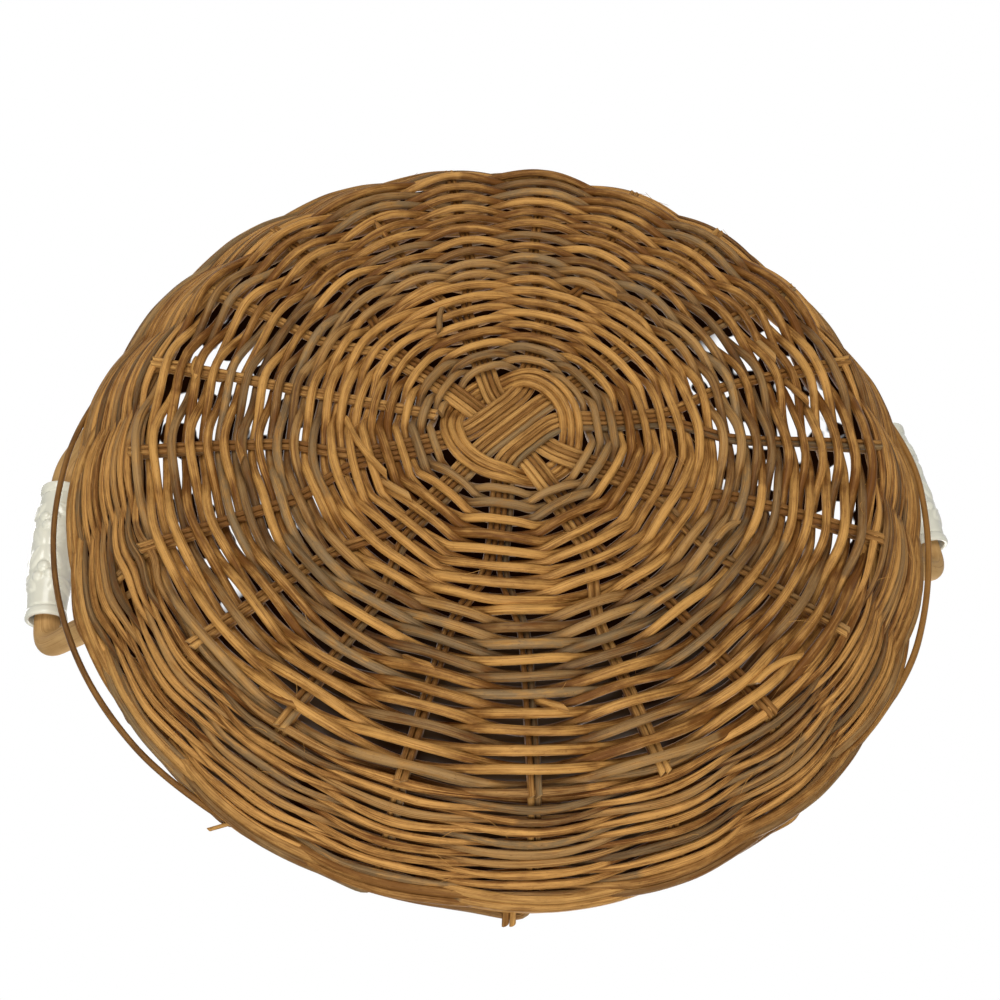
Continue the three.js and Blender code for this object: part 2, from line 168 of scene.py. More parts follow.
class Drift:
    """A smooth wandering value over places, made of sine waves with set random phases."""

    def __init__(self, rng: np.random.Generator, wavelengths: Sequence[float], dimensions: int = 1) -> None:
        """Draws the directions and phases of the waves.

        Args:
            rng: Source of the random values.
            wavelengths: Length of each wave.
            dimensions: How many coordinates a place has.
        """
        directions = rng.normal(size=(len(wavelengths), dimensions))
        directions /= np.linalg.norm(directions, axis=1, keepdims=True)
        self.rates = directions * (TURN / np.array(wavelengths))[:, None]
        self.phases = rng.uniform(0.0, TURN, len(wavelengths))

    def __call__(self, places: np.ndarray) -> np.ndarray:
        """Adds up the waves at places.

        Args:
            places: Places along a line, or points.

        Returns:
            The value at each place, mostly between -1 and 1.
        """
        places = places.reshape(len(places), -1)
        waves = np.sin(places @ self.rates.T + self.phases)
        return waves.sum(axis=1) / math.sqrt(len(self.phases))


# Strands


@dataclass
class Strand:
    """One cane as a line with a thickness and a tone along it."""

    line: np.ndarray
    radius: np.ndarray
    light: np.ndarray
    grey: np.ndarray
    start: float = 0.0
    slant: float = 0.0
    out: np.ndarray | None = None
    flatness: float = 1.0


@dataclass
class CaneStock:
    """Canes as they come to hand: each length has its own tone, and its thickness wanders."""

    rng: np.random.Generator
    length: Span = (220.0, 820.0)
    light: Span = (0.28, 0.85)
    grey_share: float = 0.3
    grey_depth: Span = (0.4, 1.0)
    wander: float = 0.06
    widest: float = 2.0
    waves: Values = (31.0, 57.0, 94.0, 170.0)
    wave_light: float = 0.06
    wave_size: float = 0.02
    first_place: float = 4000.0

    def strand(self, line: np.ndarray, radius: float, slant: float = 0.0) -> Strand:
        """Dresses a line as a strand.

        Args:
            line: Points along the middle of the strand.
            radius: Its usual radius.
            slant: How far its ends are cut on the slant, in radii.

        Returns:
            The strand, with tones and radii for each point.
        """
        lengths = np.linalg.norm(np.diff(line, axis=0), axis=1)
        travel = np.concatenate([[0.0], np.cumsum(lengths)])
        joins = [0.0]
        while joins[-1] < travel[-1]:
            joins.append(joins[-1] + self.rng.uniform(*self.length))
        piece = np.searchsorted(joins, travel, side="right") - 1
        lights = self.rng.uniform(*self.light, len(joins))
        is_grey = self.rng.uniform(size=len(joins)) < self.grey_share
        greys = is_grey * self.rng.uniform(*self.grey_depth, len(joins))
        sizes = self.rng.normal(0.0, self.wander, len(joins))
        wave = Drift(self.rng, self.waves)(travel)
        start = self.rng.uniform(0.0, self.first_place)
        widest = self.widest * self.wander
        radii = radius * (1 + np.clip(sizes[piece], -widest, widest) + self.wave_size * wave)
        return Strand(line, radii, lights[piece] + self.wave_light * wave, greys[piece], start, slant)


@dataclass
class Fuzz:
    """Fine fibres that have split off a cane and stand away from it."""

    rng: np.random.Generator
    count: int
    length: Span = (4.0, 11.0)
    radius: float = 0.15
    lowest: float = 0.3
    points: int = 7
    sides: int = 4
    margin: int = 2
    sway: float = 0.8
    seat: float = 0.8
    lift_power: float = 1.5
    taper: float = 0.5
    light: Span = (0.6, 1.2)

    def hairs(self, strand: Strand, out: np.ndarray, lift: Span) -> list[Strand]:
        """Fibres at random places along a strand.

        Args:
            strand: The strand that they split from.
            out: The way out of the weave at each point of the strand.
            lift: Least and most that they stand away, as a share of their length.

        Returns:
            The fibres, each as a thin strand.
        """
        made = []
        along = np.gradient(strand.line, axis=0)
        share = np.linspace(0.0, 1.0, self.points)[:, None]
        for spot in self.rng.integers(self.margin, len(along) - self.margin, self.count):
            ahead = along[spot] / np.linalg.norm(along[spot]) * self.rng.choice((-1.0, 1.0))
            beside = np.cross(ahead, out[spot])
            length = self.rng.uniform(*self.length)
            sway, curl = self.rng.uniform(-self.sway, self.sway, 2)
            rise = self.rng.uniform(*lift)
            start = strand.line[spot] + self.seat * strand.radius[spot] * strand.flatness * out[spot]
            line = start + length * (share * ahead + (sway * share + curl * share ** 2) * beside
                                     + rise * share ** self.lift_power * out[spot])
            line[:, 2] = np.maximum(line[:, 2], self.lowest)
            thin = self.radius * (1 - self.taper * share[:, 0])
            flat = np.ones(self.points)
            made.append(Strand(line, thin, self.rng.uniform(*self.light) * flat, 0.0 * flat))
        return made


def carried_frames(line: np.ndarray) -> tuple[np.ndarray, np.ndarray, np.ndarray]:
    """Directions along a line and two directions across it that turn as little as they can.

    Args:
        line: Points along the line.

    Returns:
        The direction along and the two directions across, at each point.
    """
    along = np.gradient(line, axis=0)
    along /= np.linalg.norm(along, axis=1, keepdims=True)
    across = np.empty_like(along)
    first = np.cross(along[0], UP if abs(along[0][2]) < STEEP else SIDEWAYS)
    across[0] = first / np.linalg.norm(first)
    for place in range(1, len(line)):
        carried = across[place - 1] - along[place] * (across[place - 1] @ along[place])
        across[place] = carried / math.sqrt(carried @ carried)
    return along, across, np.cross(along, across)


def tube_grid(rings: int, sides: int) -> tuple[np.ndarray, np.ndarray]:
    """The ring and the side of every face of a tube."""
    ring, side = np.meshgrid(np.arange(rings), np.arange(sides), indexing="ij")
    return ring.ravel(), side.ravel()


class MeshMaker:
    """Gathers the faces of one piece, with its strand map and its tone marks."""

    def __init__(self) -> None:
        """Starts with no faces."""
        self.points: list[np.ndarray] = []
        self.marks: list[np.ndarray] = []
        self.corners: list[np.ndarray] = []
        self.sizes: list[np.ndarray] = []
        self.maps: list[np.ndarray] = []
        self.flats: list[np.ndarray] = []
        self.count = 0

    def add(self, points: np.ndarray, marks: np.ndarray, faces: np.ndarray, places: np.ndarray,
            is_flat: bool = False) -> None:
        """Adds faces with the same number of corners.

        Args:
            points: New points.
            marks: Three values for each new point.
            faces: Corners of each face, as indices into the new points.
            places: Strand map at each corner of each face.
            is_flat: Whether the faces are shaded flat.
        """
        self.points.append(points)
        self.marks.append(marks)
        self.corners.append((faces + self.count).ravel())
        self.sizes.append(np.full(len(faces), faces.shape[1]))
        self.maps.append(places.reshape(-1, 2))
        self.flats.append(np.full(len(faces), is_flat))
        self.count += len(points)

    def add_strand(self, strand: Strand, sides: int, is_loop: bool = False) -> None:
        """Adds a strand as a round tube, with its cut ends closed.

        Args:
            strand: The strand.
            sides: How many sides the tube has.
            is_loop: Whether its end joins its start.
        """
        line = strand.line
        count = len(line)
        along, across, out = carried_frames(line)
        if strand.out is not None:
            across = np.cross(strand.out, along)
            across /= np.linalg.norm(across, axis=1, keepdims=True)
            out = strand.flatness * np.cross(along, across)
        around = TURN * np.arange(sides) / sides
        cosines, sines = np.cos(around)[None, :, None], np.sin(around)[None, :, None]
        spread = cosines * across[:, None] + sines * out[:, None]
        rings = line[:, None] + strand.radius[:, None, None] * spread
        for end, sign in ((0, 1.0), (count - 1, -1.0)):
            shift = strand.slant * strand.radius[end] * np.cos(around) * sign
            rings[end] += shift[:, None] * along[end]
        lengths = np.linalg.norm(np.diff(line, axis=0), axis=1)
        travel = strand.start + np.concatenate([[0.0], np.cumsum(lengths)])
        tones = np.stack([strand.light, strand.grey, np.zeros(count)], axis=1)
        marks = np.repeat(tones, sides, axis=0)
        spans = count if is_loop else count - 1
        ring, side = tube_grid(spans, sides)
        after, other = (ring + 1) % count, (side + 1) % sides
        faces = np.stack([ring * sides + side, after * sides + side, after * sides + other,
                          ring * sides + other], axis=1)
        far = travel[ring] + (lengths.mean() if is_loop else 0.0)
        far = np.where(after > ring, travel[after], far)
        low, high = side / sides, (side + 1) / sides
        places = np.stack([np.stack(pair, axis=1) for pair in
                           ((travel[ring], low), (far, low), (far, high), (travel[ring], high))], axis=1)
        self.add(rings.reshape(-1, 3), marks, faces, places)
        if is_loop:
            return
        for end in (0, count - 1):
            self.add_cut(rings[end], tones[end], travel[end], faces_back=end == 0)

    def add_cut(self, rim: np.ndarray, tone: np.ndarray, travel: float, faces_back: bool) -> None:
        """Closes a strand with a cut end.

        Args:
            rim: The last ring of points.
            tone: Marks of the strand there.
            travel: Place along the strand.
            faces_back: Whether the end faces against the strand's direction.
        """
        sides = len(rim)
        points = np.concatenate([rim, rim.mean(axis=0)[None]])
        side = np.arange(sides)
        other = (side + 1) % sides
        middle = np.full(sides, sides)
        faces = np.stack([side, other, middle] if faces_back else [other, side, middle], axis=1)
        marks = np.tile(np.array([tone[0], tone[1], 1.0]), (sides + 1, 1))
        flat = np.stack([np.cos(TURN * side / sides), np.sin(TURN * side / sides)], axis=1) + travel
        spots = np.concatenate([flat, np.array([[travel, travel]])])
        self.add(points, marks, faces, spots[faces], is_flat=True)

    def add_hairs(self, fuzz: Fuzz, strand: Strand, out: np.ndarray, lift: Span) -> None:
        """Adds the fibres that have split off a strand.

        Args:
            fuzz: The fibres to draw.
            strand: The strand.
            out: The way out of the weave at each point of the strand.
            lift: Least and most that they stand away, as a share of their length.
        """
        for hair in fuzz.hairs(strand, out, lift):
            self.add_strand(hair, fuzz.sides)

    def finish(self, name: str, material: bpy.types.Material, mark: str = CANE_MARK) -> bpy.types.Object:
        """Makes the piece.

        Args:
            name: Name of the piece.
            material: Its material.
            mark: Name of the attribute that carries the marks.

        Returns:
            The new object, in metres.
        """
        mesh = bpy.data.meshes.new(name)
        points = np.concatenate(self.points) * MM
        corners = np.concatenate(self.corners)
        sizes = np.concatenate(self.sizes)
        mesh.vertices.add(len(points))
        mesh.vertices.foreach_set("co", points.astype(np.float32).ravel())
        mesh.loops.add(len(corners))
        mesh.loops.foreach_set("vertex_index", corners.astype(np.int32))
        mesh.polygons.add(len(sizes))
        starts = np.concatenate([[0], np.cumsum(sizes)[:-1]])
        mesh.polygons.foreach_set("loop_start", starts.astype(np.int32))
        mesh.polygons.foreach_set("loop_total", sizes.astype(np.int32))
        mesh.polygons.foreach_set("use_smooth", ~np.concatenate(self.flats))
        layer = mesh.uv_layers.new(name=STRAND_MAP)
        layer.data.foreach_set("uv", np.concatenate(self.maps).astype(np.float32).ravel())
        marks = mesh.attributes.new(mark, "FLOAT_VECTOR", "POINT")
        marks.data.foreach_set("vector", np.concatenate(self.marks).astype(np.float32).ravel())
        mesh.update(calc_edges=True)
        mesh.validate()
        mesh.materials.append(material)
        piece = bpy.data.objects.new(name, mesh)
        bpy.context.scene.collection.objects.link(piece)
        return piece


def place(piece: bpy.types.Object, body: Body, slot: Slot, *nodes: str) -> None:
    """Lets a piece ride on its body and stand for solids.

    Args:
        piece: The piece.
        body: The body that it rides on.
        slot: Its finish in the record; not used.
        nodes: The solids that it stands for.
    """
    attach(piece, body.value)
    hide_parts(*nodes)
    log.info("%s: %d faces", piece.name, len(piece.data.polygons))


# Finishes


@dataclass(frozen=True)
class CaneFinish:
    """Colours of a cane, and how its fibres show."""

    name: str
    light: Colour
    dark: Colour
    grey: Colour
    cut: Colour
    fibre: float = 0.5
    mottle: float = 0.5
    speckle: float = 0.5
    roughness: float = 0.5
    bump: float = 0.35


@dataclass(frozen=True)
class GlazeFinish:
    """Colours of the glaze on a sleeve."""

    name: str
    glaze: Colour
    hollow: Colour
    clay: Colour
    roughness: float = 0.2
    cloud_scale: float = 160.0
    cloud_detail: float = 3.0
    hollow_clouds: Span = (0.1, 0.75)
    rough_depth: float = 0.15
    fine_scale: float = 420.0
    fine_detail: float = 2.0
    bump: float = 0.12


class Grain(NamedTuple):
    """Noise laid along a strand: its rates along and across it, its detail and its roughness."""

    along: float
    across: float
    detail: float
    roughness: float = NOISE_ROUGHNESS


@dataclass(frozen=True)
class CaneSurface:
    """How fibres, clouds, specks and seams are laid over every cane."""

    fine: Grain = Grain(0.05, 6.0, 4.0, 0.65)
    lines: Grain = Grain(0.022, 8.0, 2.0, 0.5)
    broad: Grain = Grain(0.02, 1.6, 2.0)
    cloud: Grain = Grain(0.11, 0.7, 4.0, 0.65)
    specks: Grain = Grain(0.55, 2.6, 2.0, 0.7)
    fine_share: float = 0.6
    broad_share: float = 0.4
    grain_depth: float = 3.0
    cloud_depth: float = 2.4
    grey_clouds: Span = (0.25, 0.6)
    grey_range: Span = (-0.2, 1.1)
    grey_dark: Colour = (0.35, 0.35, 0.35)
    grey_light: Colour = (1.25, 1.25, 1.25)
    speck_range: Span = (0.62, 0.74)
    speck_tint: Colour = (0.26, 0.16, 0.07)
    seam_range: Span = (0.44, 0.34)
    seam_tint: Colour = (0.48, 0.33, 0.18)
    cut_range: Span = (0.35, 0.65)
    rough_depth: float = 0.5
    fine_height: float = 0.7
    cloud_height: float = 0.5
    speck_depth: float = 0.4
    seam_depth: float = 0.5


CANE_SURFACE = CaneSurface()
CANE_GLOSS = 0.1
BUMP_DISTANCE = 0.3 * MM

WEAVER_FINISH = CaneFinish("weaver cane", (0.545, 0.285, 0.078), (0.135, 0.05, 0.009), (0.185, 0.118, 0.055),
                           (0.50, 0.30, 0.11), fibre=0.8)
# The spoke cane is a touch darker than the weaver cane: painted shade for spokes that lie under the weavers.
SPOKE_FINISH = CaneFinish("spoke cane", (0.52, 0.28, 0.082), (0.17, 0.07, 0.015), (0.20, 0.135, 0.066),
                          (0.60, 0.37, 0.15), fibre=0.8, roughness=0.58)
SIDE_FINISH = CaneFinish("side cane", (0.555, 0.285, 0.08), (0.125, 0.043, 0.0075), (0.175, 0.108, 0.048),
                         (0.48, 0.28, 0.10), fibre=1.05, roughness=0.62, bump=0.7)
HOOP_FINISH = CaneFinish("hoop cane", (0.28, 0.135, 0.034), (0.095, 0.04, 0.011), (0.15, 0.115, 0.04),
                         (0.36, 0.22, 0.09), roughness=0.45)
BOW_FINISH = CaneFinish("bow wood", (0.66, 0.42, 0.175), (0.46, 0.255, 0.088), (0.42, 0.30, 0.15),
                        (0.68, 0.47, 0.22), fibre=0.45, mottle=0.25, speckle=0.25, roughness=0.6, bump=0.2)
SLEEVE_FINISH = GlazeFinish("sleeve glaze", (0.74, 0.72, 0.59), (0.31, 0.30, 0.225), (0.30, 0.27, 0.20))


class Graph:
    """Adds nodes to a node tree and joins them."""

    def __init__(self, tree: bpy.types.NodeTree) -> None:
        """Works on a tree."""
        self.tree = tree

    def set(self, socket: bpy.types.NodeSocket, value: Any) -> None:
        """Joins a socket to another, or sets its value.

        Args:
            socket: The socket of a node.
            value: The other socket, or the value.
        """
        if isinstance(value, bpy.types.NodeSocket):
            self.tree.links.new(value, socket)
        else:
            socket.default_value = (*value, 1.0) if socket.type == "RGBA" and len(value) == 3 else value

    def node(self, kind: str, inputs: dict[Any, Any], **settings: Any) -> bpy.types.Node:
        """Adds a node.

        Args:
            kind: Blender's name of the node type.
            inputs: Values or sockets for its inputs.
            settings: Values of its properties.

        Returns:
            The node.
        """
        made = self.tree.nodes.new(kind)
        for name, value in settings.items():
            setattr(made, name, value)
        for name, value in inputs.items():
            self.set(made.inputs[name], value)
        return made

    def math(self, operation: str, *values: Any) -> bpy.types.NodeSocket:
        """A sum on one, two or three values."""
        return self.node("ShaderNodeMath", dict(enumerate(values)), operation=operation).outputs[0]

    def centred(self, noise: Any) -> bpy.types.NodeSocket:
        """Noise from 0 to 1 moved to lie about 0."""
        return self.math("SUBTRACT", noise, 0.5)

    def ramp(self, value: Any, low: float, high: float) -> bpy.types.NodeSocket:
        """A value taken from a range to 0 and 1, eased at both ends.

        Args:
            value: The value.
            low: Where the result is 0.
            high: Where the result is 1.

        Returns:
            The share.
        """
        made = self.node("ShaderNodeMapRange", {"Value": value, "From Min": low, "From Max": high},
                         interpolation_type="SMOOTHSTEP")
        return made.outputs["Result"]

    def mix(self, share: Any, one: Any, other: Any, blend: str = "MIX") -> bpy.types.NodeSocket:
        """Two colours mixed by a share.

        Args:
            share: Share of the other colour.
            one: One colour.
            other: The other colour.
            blend: Blender's name for the way of mixing.

        Returns:
            The mixed colour.
        """
        made = self.node("ShaderNodeMix", {}, data_type="RGBA", blend_type=blend)
        sockets = {socket.identifier: socket for socket in made.inputs}
        self.set(sockets["Factor_Float"], share)
        self.set(sockets["A_Color"], one)
        self.set(sockets["B_Color"], other)
        return next(socket for socket in made.outputs if socket.identifier == "Result_Color")

    def noise(self, vector: Any, scale: float, detail: float,
              roughness: float = NOISE_ROUGHNESS) -> bpy.types.NodeSocket:
        """Cloudy noise from 0 to 1."""
        inputs = {"Vector": vector, "Scale": scale, "Detail": detail, "Roughness": roughness}
        return self.node("ShaderNodeTexNoise", inputs).outputs[0]


class Finishes:
    """Makes the materials, and the node groups that several of them share."""

    def __init__(self) -> None:
        """Builds the shared groups."""
        self.cane_group = self.build_cane_group()

    def build_cane_group(self) -> bpy.types.NodeTree:
        """Fibres, mottling and specks of a cane, laid along its strand map.

        Returns:
            The node group.
        """
        tree = bpy.data.node_groups.new("cane surface", "ShaderNodeTree")
        for name in ("Light", "Dark", "Grey", "Cut"):
            tree.interface.new_socket(name, in_out="INPUT", socket_type="NodeSocketColor")
        for name in ("Fibre", "Mottle", "Speckle", "Roughness"):
            tree.interface.new_socket(name, in_out="INPUT", socket_type="NodeSocketFloat")
        tree.interface.new_socket("Color", in_out="OUTPUT", socket_type="NodeSocketColor")
        for name in ("Roughness", "Height"):
            tree.interface.new_socket(name, in_out="OUTPUT", socket_type="NodeSocketFloat")
        graph = Graph(tree)
        given = graph.node("NodeGroupInput", {}).outputs
        spot = graph.node("ShaderNodeUVMap", {}, uv_map=STRAND_MAP).outputs[0]
        parts = graph.node("ShaderNodeSeparateXYZ", {0: spot}).outputs
        around = graph.math("MULTIPLY", parts[1], TURN)
        ring = [graph.math("COSINE", around), graph.math("SINE", around)]

        def laid(grain: Grain) -> bpy.types.NodeSocket:
            """Noise laid round and along the strand.

            Args:
                grain: Its rates and detail.

            Returns:
                The noise, from 0 to 1.
            """
            values = [graph.math("MULTIPLY", parts[0], grain.along)]
            values += [graph.math("MULTIPLY", part, grain.across) for part in ring]
            vector = graph.node("ShaderNodeCombineXYZ", dict(enumerate(values))).outputs[0]
            return graph.noise(vector, 1.0, grain.detail, grain.roughness)

        look = CANE_SURFACE
        grains = (look.fine, look.lines, look.broad, look.cloud, look.specks)
        fine, lines, broad, cloud, specks = (laid(grain) for grain in grains)
        mark = graph.node("ShaderNodeAttribute", {}, attribute_name=CANE_MARK).outputs["Vector"]
        tones = graph.node("ShaderNodeSeparateXYZ", {0: mark}).outputs
        grain = graph.centred(graph.math("ADD", graph.math("MULTIPLY", fine, look.fine_share),
                                         graph.math("MULTIPLY", broad, look.broad_share)))
        fibres = graph.math("MULTIPLY", grain, given["Fibre"])
        share = graph.math("MULTIPLY_ADD", fibres, look.grain_depth, tones[0])
        clouds = graph.math("MULTIPLY", graph.centred(cloud), given["Mottle"])
        share = graph.math("MULTIPLY_ADD", clouds, look.cloud_depth, share)
        colour = graph.mix(graph.ramp(share, 0.0, 1.0), given["Dark"], given["Light"])
        grey = graph.math("MULTIPLY", tones[1], graph.ramp(cloud, *look.grey_clouds))
        shaded = graph.mix(graph.ramp(share, *look.grey_range), look.grey_dark, look.grey_light)
        colour = graph.mix(grey, colour, graph.mix(1.0, given["Grey"], shaded, "MULTIPLY"))
        dots = graph.math("MULTIPLY", graph.ramp(specks, *look.speck_range), given["Speckle"])
        colour = graph.mix(dots, colour, graph.mix(1.0, colour, look.speck_tint, "MULTIPLY"))
        seams = graph.math("MULTIPLY", graph.ramp(lines, *look.seam_range), given["Fibre"])
        colour = graph.mix(seams, colour, graph.mix(1.0, colour, look.seam_tint, "MULTIPLY"))
        cut = graph.mix(graph.ramp(fine, *look.cut_range), given["Dark"], given["Cut"])
        colour = graph.mix(tones[2], colour, cut)
        rough = graph.math("MULTIPLY_ADD", graph.centred(fine), look.rough_depth, given["Roughness"])
        height = graph.math("ADD", graph.math("MULTIPLY", fine, look.fine_height),
                            graph.math("MULTIPLY", cloud, look.cloud_height))
        height = graph.math("SUBTRACT", height, graph.math("MULTIPLY", dots, look.speck_depth))
        height = graph.math("SUBTRACT", height, graph.math("MULTIPLY", seams, look.seam_depth))
        graph.node("NodeGroupOutput", {"Color": colour, "Roughness": rough, "Height": height})
        return tree

    def blank(self, name: str) -> tuple[bpy.types.Material, Graph]:
        """A new material with an empty tree.

        Args:
            name: Name of the material.

        Returns:
            The material and the graph of its tree.
        """
        material = bpy.data.materials.new(name)
        material.use_nodes = True
        material.node_tree.nodes.clear()
        return material, Graph(material.node_tree)

    def cane(self, finish: CaneFinish) -> bpy.types.Material:
        """The material of a cane finish.

        Args:
            finish: The finish.

        Returns:
            The material.
        """
        material, graph = self.blank(finish.name)
        surface = graph.node("ShaderNodeGroup", {}, node_tree=self.cane_group)
        values = {"Light": finish.light, "Dark": finish.dark, "Grey": finish.grey, "Cut": finish.cut,
                  "Fibre": finish.fibre, "Mottle": finish.mottle, "Speckle": finish.speckle,
                  "Roughness": finish.roughness}
        for name, value in values.items():
            graph.set(surface.inputs[name], value)
        bump = graph.node("ShaderNodeBump", {"Strength": finish.bump, "Distance": BUMP_DISTANCE,
                                             "Height": surface.outputs["Height"]})
        shader = graph.node("ShaderNodeBsdfPrincipled", {
            "Base Color": surface.outputs["Color"], "Roughness": surface.outputs["Roughness"],
            "Normal": bump.outputs[0], "Specular IOR Level": CANE_GLOSS})
        graph.node("ShaderNodeOutputMaterial", {"Surface": shader.outputs[0]})
        return material

    def glaze(self, finish: GlazeFinish) -> bpy.types.Material:
        """The material of a sleeve: glossy glaze, thinner on what stands out and darker in hollows, partly
        as pooled glaze and partly as painted shade.

        Args:
            finish: The finish.

        Returns:
            The material.
        """
        material, graph = self.blank(finish.name)
        mark = graph.node("ShaderNodeAttribute", {}, attribute_name=RELIEF_MARK).outputs["Vector"]
        parts = graph.node("ShaderNodeSeparateXYZ", {0: mark}).outputs
        spot = graph.node("ShaderNodeTexCoord", {}).outputs["Object"]
        cloud = graph.noise(spot, finish.cloud_scale, finish.cloud_detail)
        # Darker hollows: pooled glaze, deepened with painted shade in the grooves round the berries.
        hollow = graph.math("MULTIPLY", parts[0], graph.ramp(cloud, *finish.hollow_clouds))
        colour = graph.mix(hollow, finish.glaze, finish.hollow)
        colour = graph.mix(parts[1], colour, finish.clay)
        rough = graph.math("MULTIPLY_ADD", graph.centred(cloud), finish.rough_depth, finish.roughness)
        fine = graph.noise(spot, finish.fine_scale, finish.fine_detail)
        bump = graph.node("ShaderNodeBump", {"Strength": finish.bump, "Distance": BUMP_DISTANCE,
                                             "Height": fine})
        shader = graph.node("ShaderNodeBsdfPrincipled", {"Base Color": colour, "Roughness": rough,
                                                         "Normal": bump.outputs[0]})
        graph.node("ShaderNodeOutputMaterial", {"Surface": shader.outputs[0]})
        return material


# Basket


@dataclass(frozen=True)
class Measures:
    """Sizes that the basket shares with its solids."""

    cane: float = 2.6
    weaver: float = 3.6
    stake: float = 2.8
    side_weaver: float = 2.3
    hoop: float = 2.7
    clearance: float = 0.35
    spokes: int = 21
    groups: int = 11
    group_radius: float = 46.0
    split_radius: float = 74.0
    split_end_radius: float = 100.0
    outer_weave_radius: float = 88.5
    spoke_end_radius: float = 167.0
    tuck_radius: float = 134.0
    bend_radius: float = 166.0
    wall_angle: float = math.radians(44)
    wall_lean: float = math.radians(8)
    lean_sharpness: float = 2.0
    back_flare: float = math.radians(3)
    flare_start: float = 0.4
    wall_length: float = 50.0
    bend_reach: float = 5.0
    dome: float = 2.2
    dome_radius: float = 150.0
    dome_run: float = 60.0

    @property
    def spoke_step(self) -> float:
        """Angle between two spokes."""
        return TURN / self.spokes

    def half(self, diameter: float) -> float:
        """Half the side of the square that stands for a round cane in the solids."""
        return diameter * math.sqrt(math.pi) / 4

    @property
    def cane_pitch(self) -> float:
        """Distance between neighbouring canes of a bundle."""
        return 2 * self.half(self.cane) + self.clearance

    @property
    def stake_pitch(self) -> float:
        """Distance between neighbouring stakes in the border."""
        return 2 * self.half(self.stake) + self.clearance

    @property
    def layer_offset(self) -> float:
        """How far each bundle of the cross lies from the level of the spokes."""
        return self.half(self.cane) + self.clearance / 2

    @property
    def swing(self) -> float:
        """How far the base weavers swing from the level of the spokes in the solids.

        Returns:
            The distance between their middle and that level.
        """
        pair_half = self.cane_pitch / 2 + self.half(self.cane)
        spacing = 2 * self.split_end_radius * math.sin(self.spoke_step / 2)
        reach = self.half(self.cane) + self.clearance + self.half(self.weaver)
        return reach / (1 - 2 * pair_half / spacing)

    @property
    def row_pitch(self) -> float:
        """Distance between rows of the base weave."""
        return (2 * self.half(self.weaver) + self.clearance) / math.cos(math.pi / self.groups)

    @property
    def spoke_level(self) -> float:
        """Level of the spokes."""
        return self.half(self.weaver) + self.swing

    @property
    def tuck_level(self) -> float:
        """Level of the stakes where they are tucked in above the spokes."""
        return self.spoke_level + self.half(self.cane) + self.clearance + self.half(self.stake)

    def spoke_angle(self, spoke: Any) -> Any:
        """Angle of a spoke."""
        return self.spoke_step * (spoke + 1)

    def group_angle(self, group: int) -> float:
        """Angle of a group of spokes in the inner weave."""
        return self.spoke_angle(0 if group == 0 else 2 * group - 0.5)

    def lift(self, line: np.ndarray) -> np.ndarray:
        """A line of the base raised by the slight dome of its middle.

        Args:
            line: Points of the flat base.

        Returns:
            The raised points.
        """
        raised = line.copy()
        radius = np.hypot(line[:, 0], line[:, 1])
        raised[:, 2] += self.dome * smooth((self.dome_radius - radius) / self.dome_run)
        return raised

    def wall_pitch(self, angle: Any) -> Any:
        """How steeply the wall stands at an angle round the basket.

        Args:
            angle: Angle round the basket.

        Returns:
            Angle of the wall above the floor.
        """
        lean = self.wall_lean * ((1 - np.cos(angle)) / 2) ** self.lean_sharpness
        flare = self.back_flare * smooth((np.sin(angle) - self.flare_start) / (1 - self.flare_start))
        return self.wall_angle + lean - flare

    def bend(self, angle: Any, slope: Any) -> tuple[Any, Any]:
        """The bend at the foot of the wall.

        Args:
            angle: Angle round the basket.
            slope: Length up the wall from its foot.

        Returns:
            The share of the bend that is passed, and the pitch there.
        """
        share = np.clip((slope + self.bend_reach) / (2 * self.bend_reach), 0.0, 1.0)
        pitch = self.wall_pitch(angle)
        return share, np.arctan2(share * np.sin(pitch), 1 - share + share * np.cos(pitch))

    def wall_normal(self, angle: Any, slope: Any) -> np.ndarray:
        """The direction out of the wall."""
        pitch = self.bend(angle, slope)[1]
        return polar(np.sin(pitch), angle, -np.cos(pitch))

    def wall_tangent(self, angle: Any) -> np.ndarray:
        """The direction up the straight part of the wall."""
        pitch = self.wall_pitch(angle)
        return polar(np.cos(pitch), angle, np.sin(pitch))

    def on_wall(self, angle: Any, slope: Any, out: Any) -> np.ndarray:
        """Points of the wall with its rounded foot.

        Args:
            angle: Angle round the basket.
            slope: Length up the wall from its foot.
            out: Distance out from the line of the stakes.

        Returns:
            The points.
        """
        share, local = self.bend(angle, slope)
        pitch = self.wall_pitch(angle)
        climb = self.bend_reach * share ** 2 + np.maximum(slope - self.bend_reach, 0.0)
        level = np.minimum(slope + self.bend_reach, 0.0) - self.bend_reach * (1 - share) ** 2
        radius = self.bend_radius + level + climb * np.cos(pitch) + out * np.sin(local)
        return polar(radius, angle, self.tuck_level + climb * np.sin(pitch) - out * np.cos(local))


class PlanLine(NamedTuple):
    """A line in plan: its direction, and how far it passes to the left of the origin."""

    angle: float
    offset: float

    @staticmethod
    def through(point: np.ndarray, angle: float) -> "PlanLine":
        """The line through a point in a direction."""
        return PlanLine(angle, point[1] * math.cos(angle) - point[0] * math.sin(angle))

    def meet(self, other: "PlanLine", level: float) -> np.ndarray:
        """Where two lines meet, at a level.

        Args:
            other: The other line.
            level: Level of the result.

        Returns:
            The point.
        """
        turn = math.sin(other.angle - self.angle)
        x = (self.offset * math.cos(other.angle) - other.offset * math.cos(self.angle)) / turn
        y = (self.offset * math.sin(other.angle) - other.offset * math.sin(self.angle)) / turn
        return np.array([x, y, level])


def bearing(start: np.ndarray, end: np.ndarray) -> float:
    """The direction from one point to another in plan."""
    return math.atan2(end[1] - start[1], end[0] - start[0])


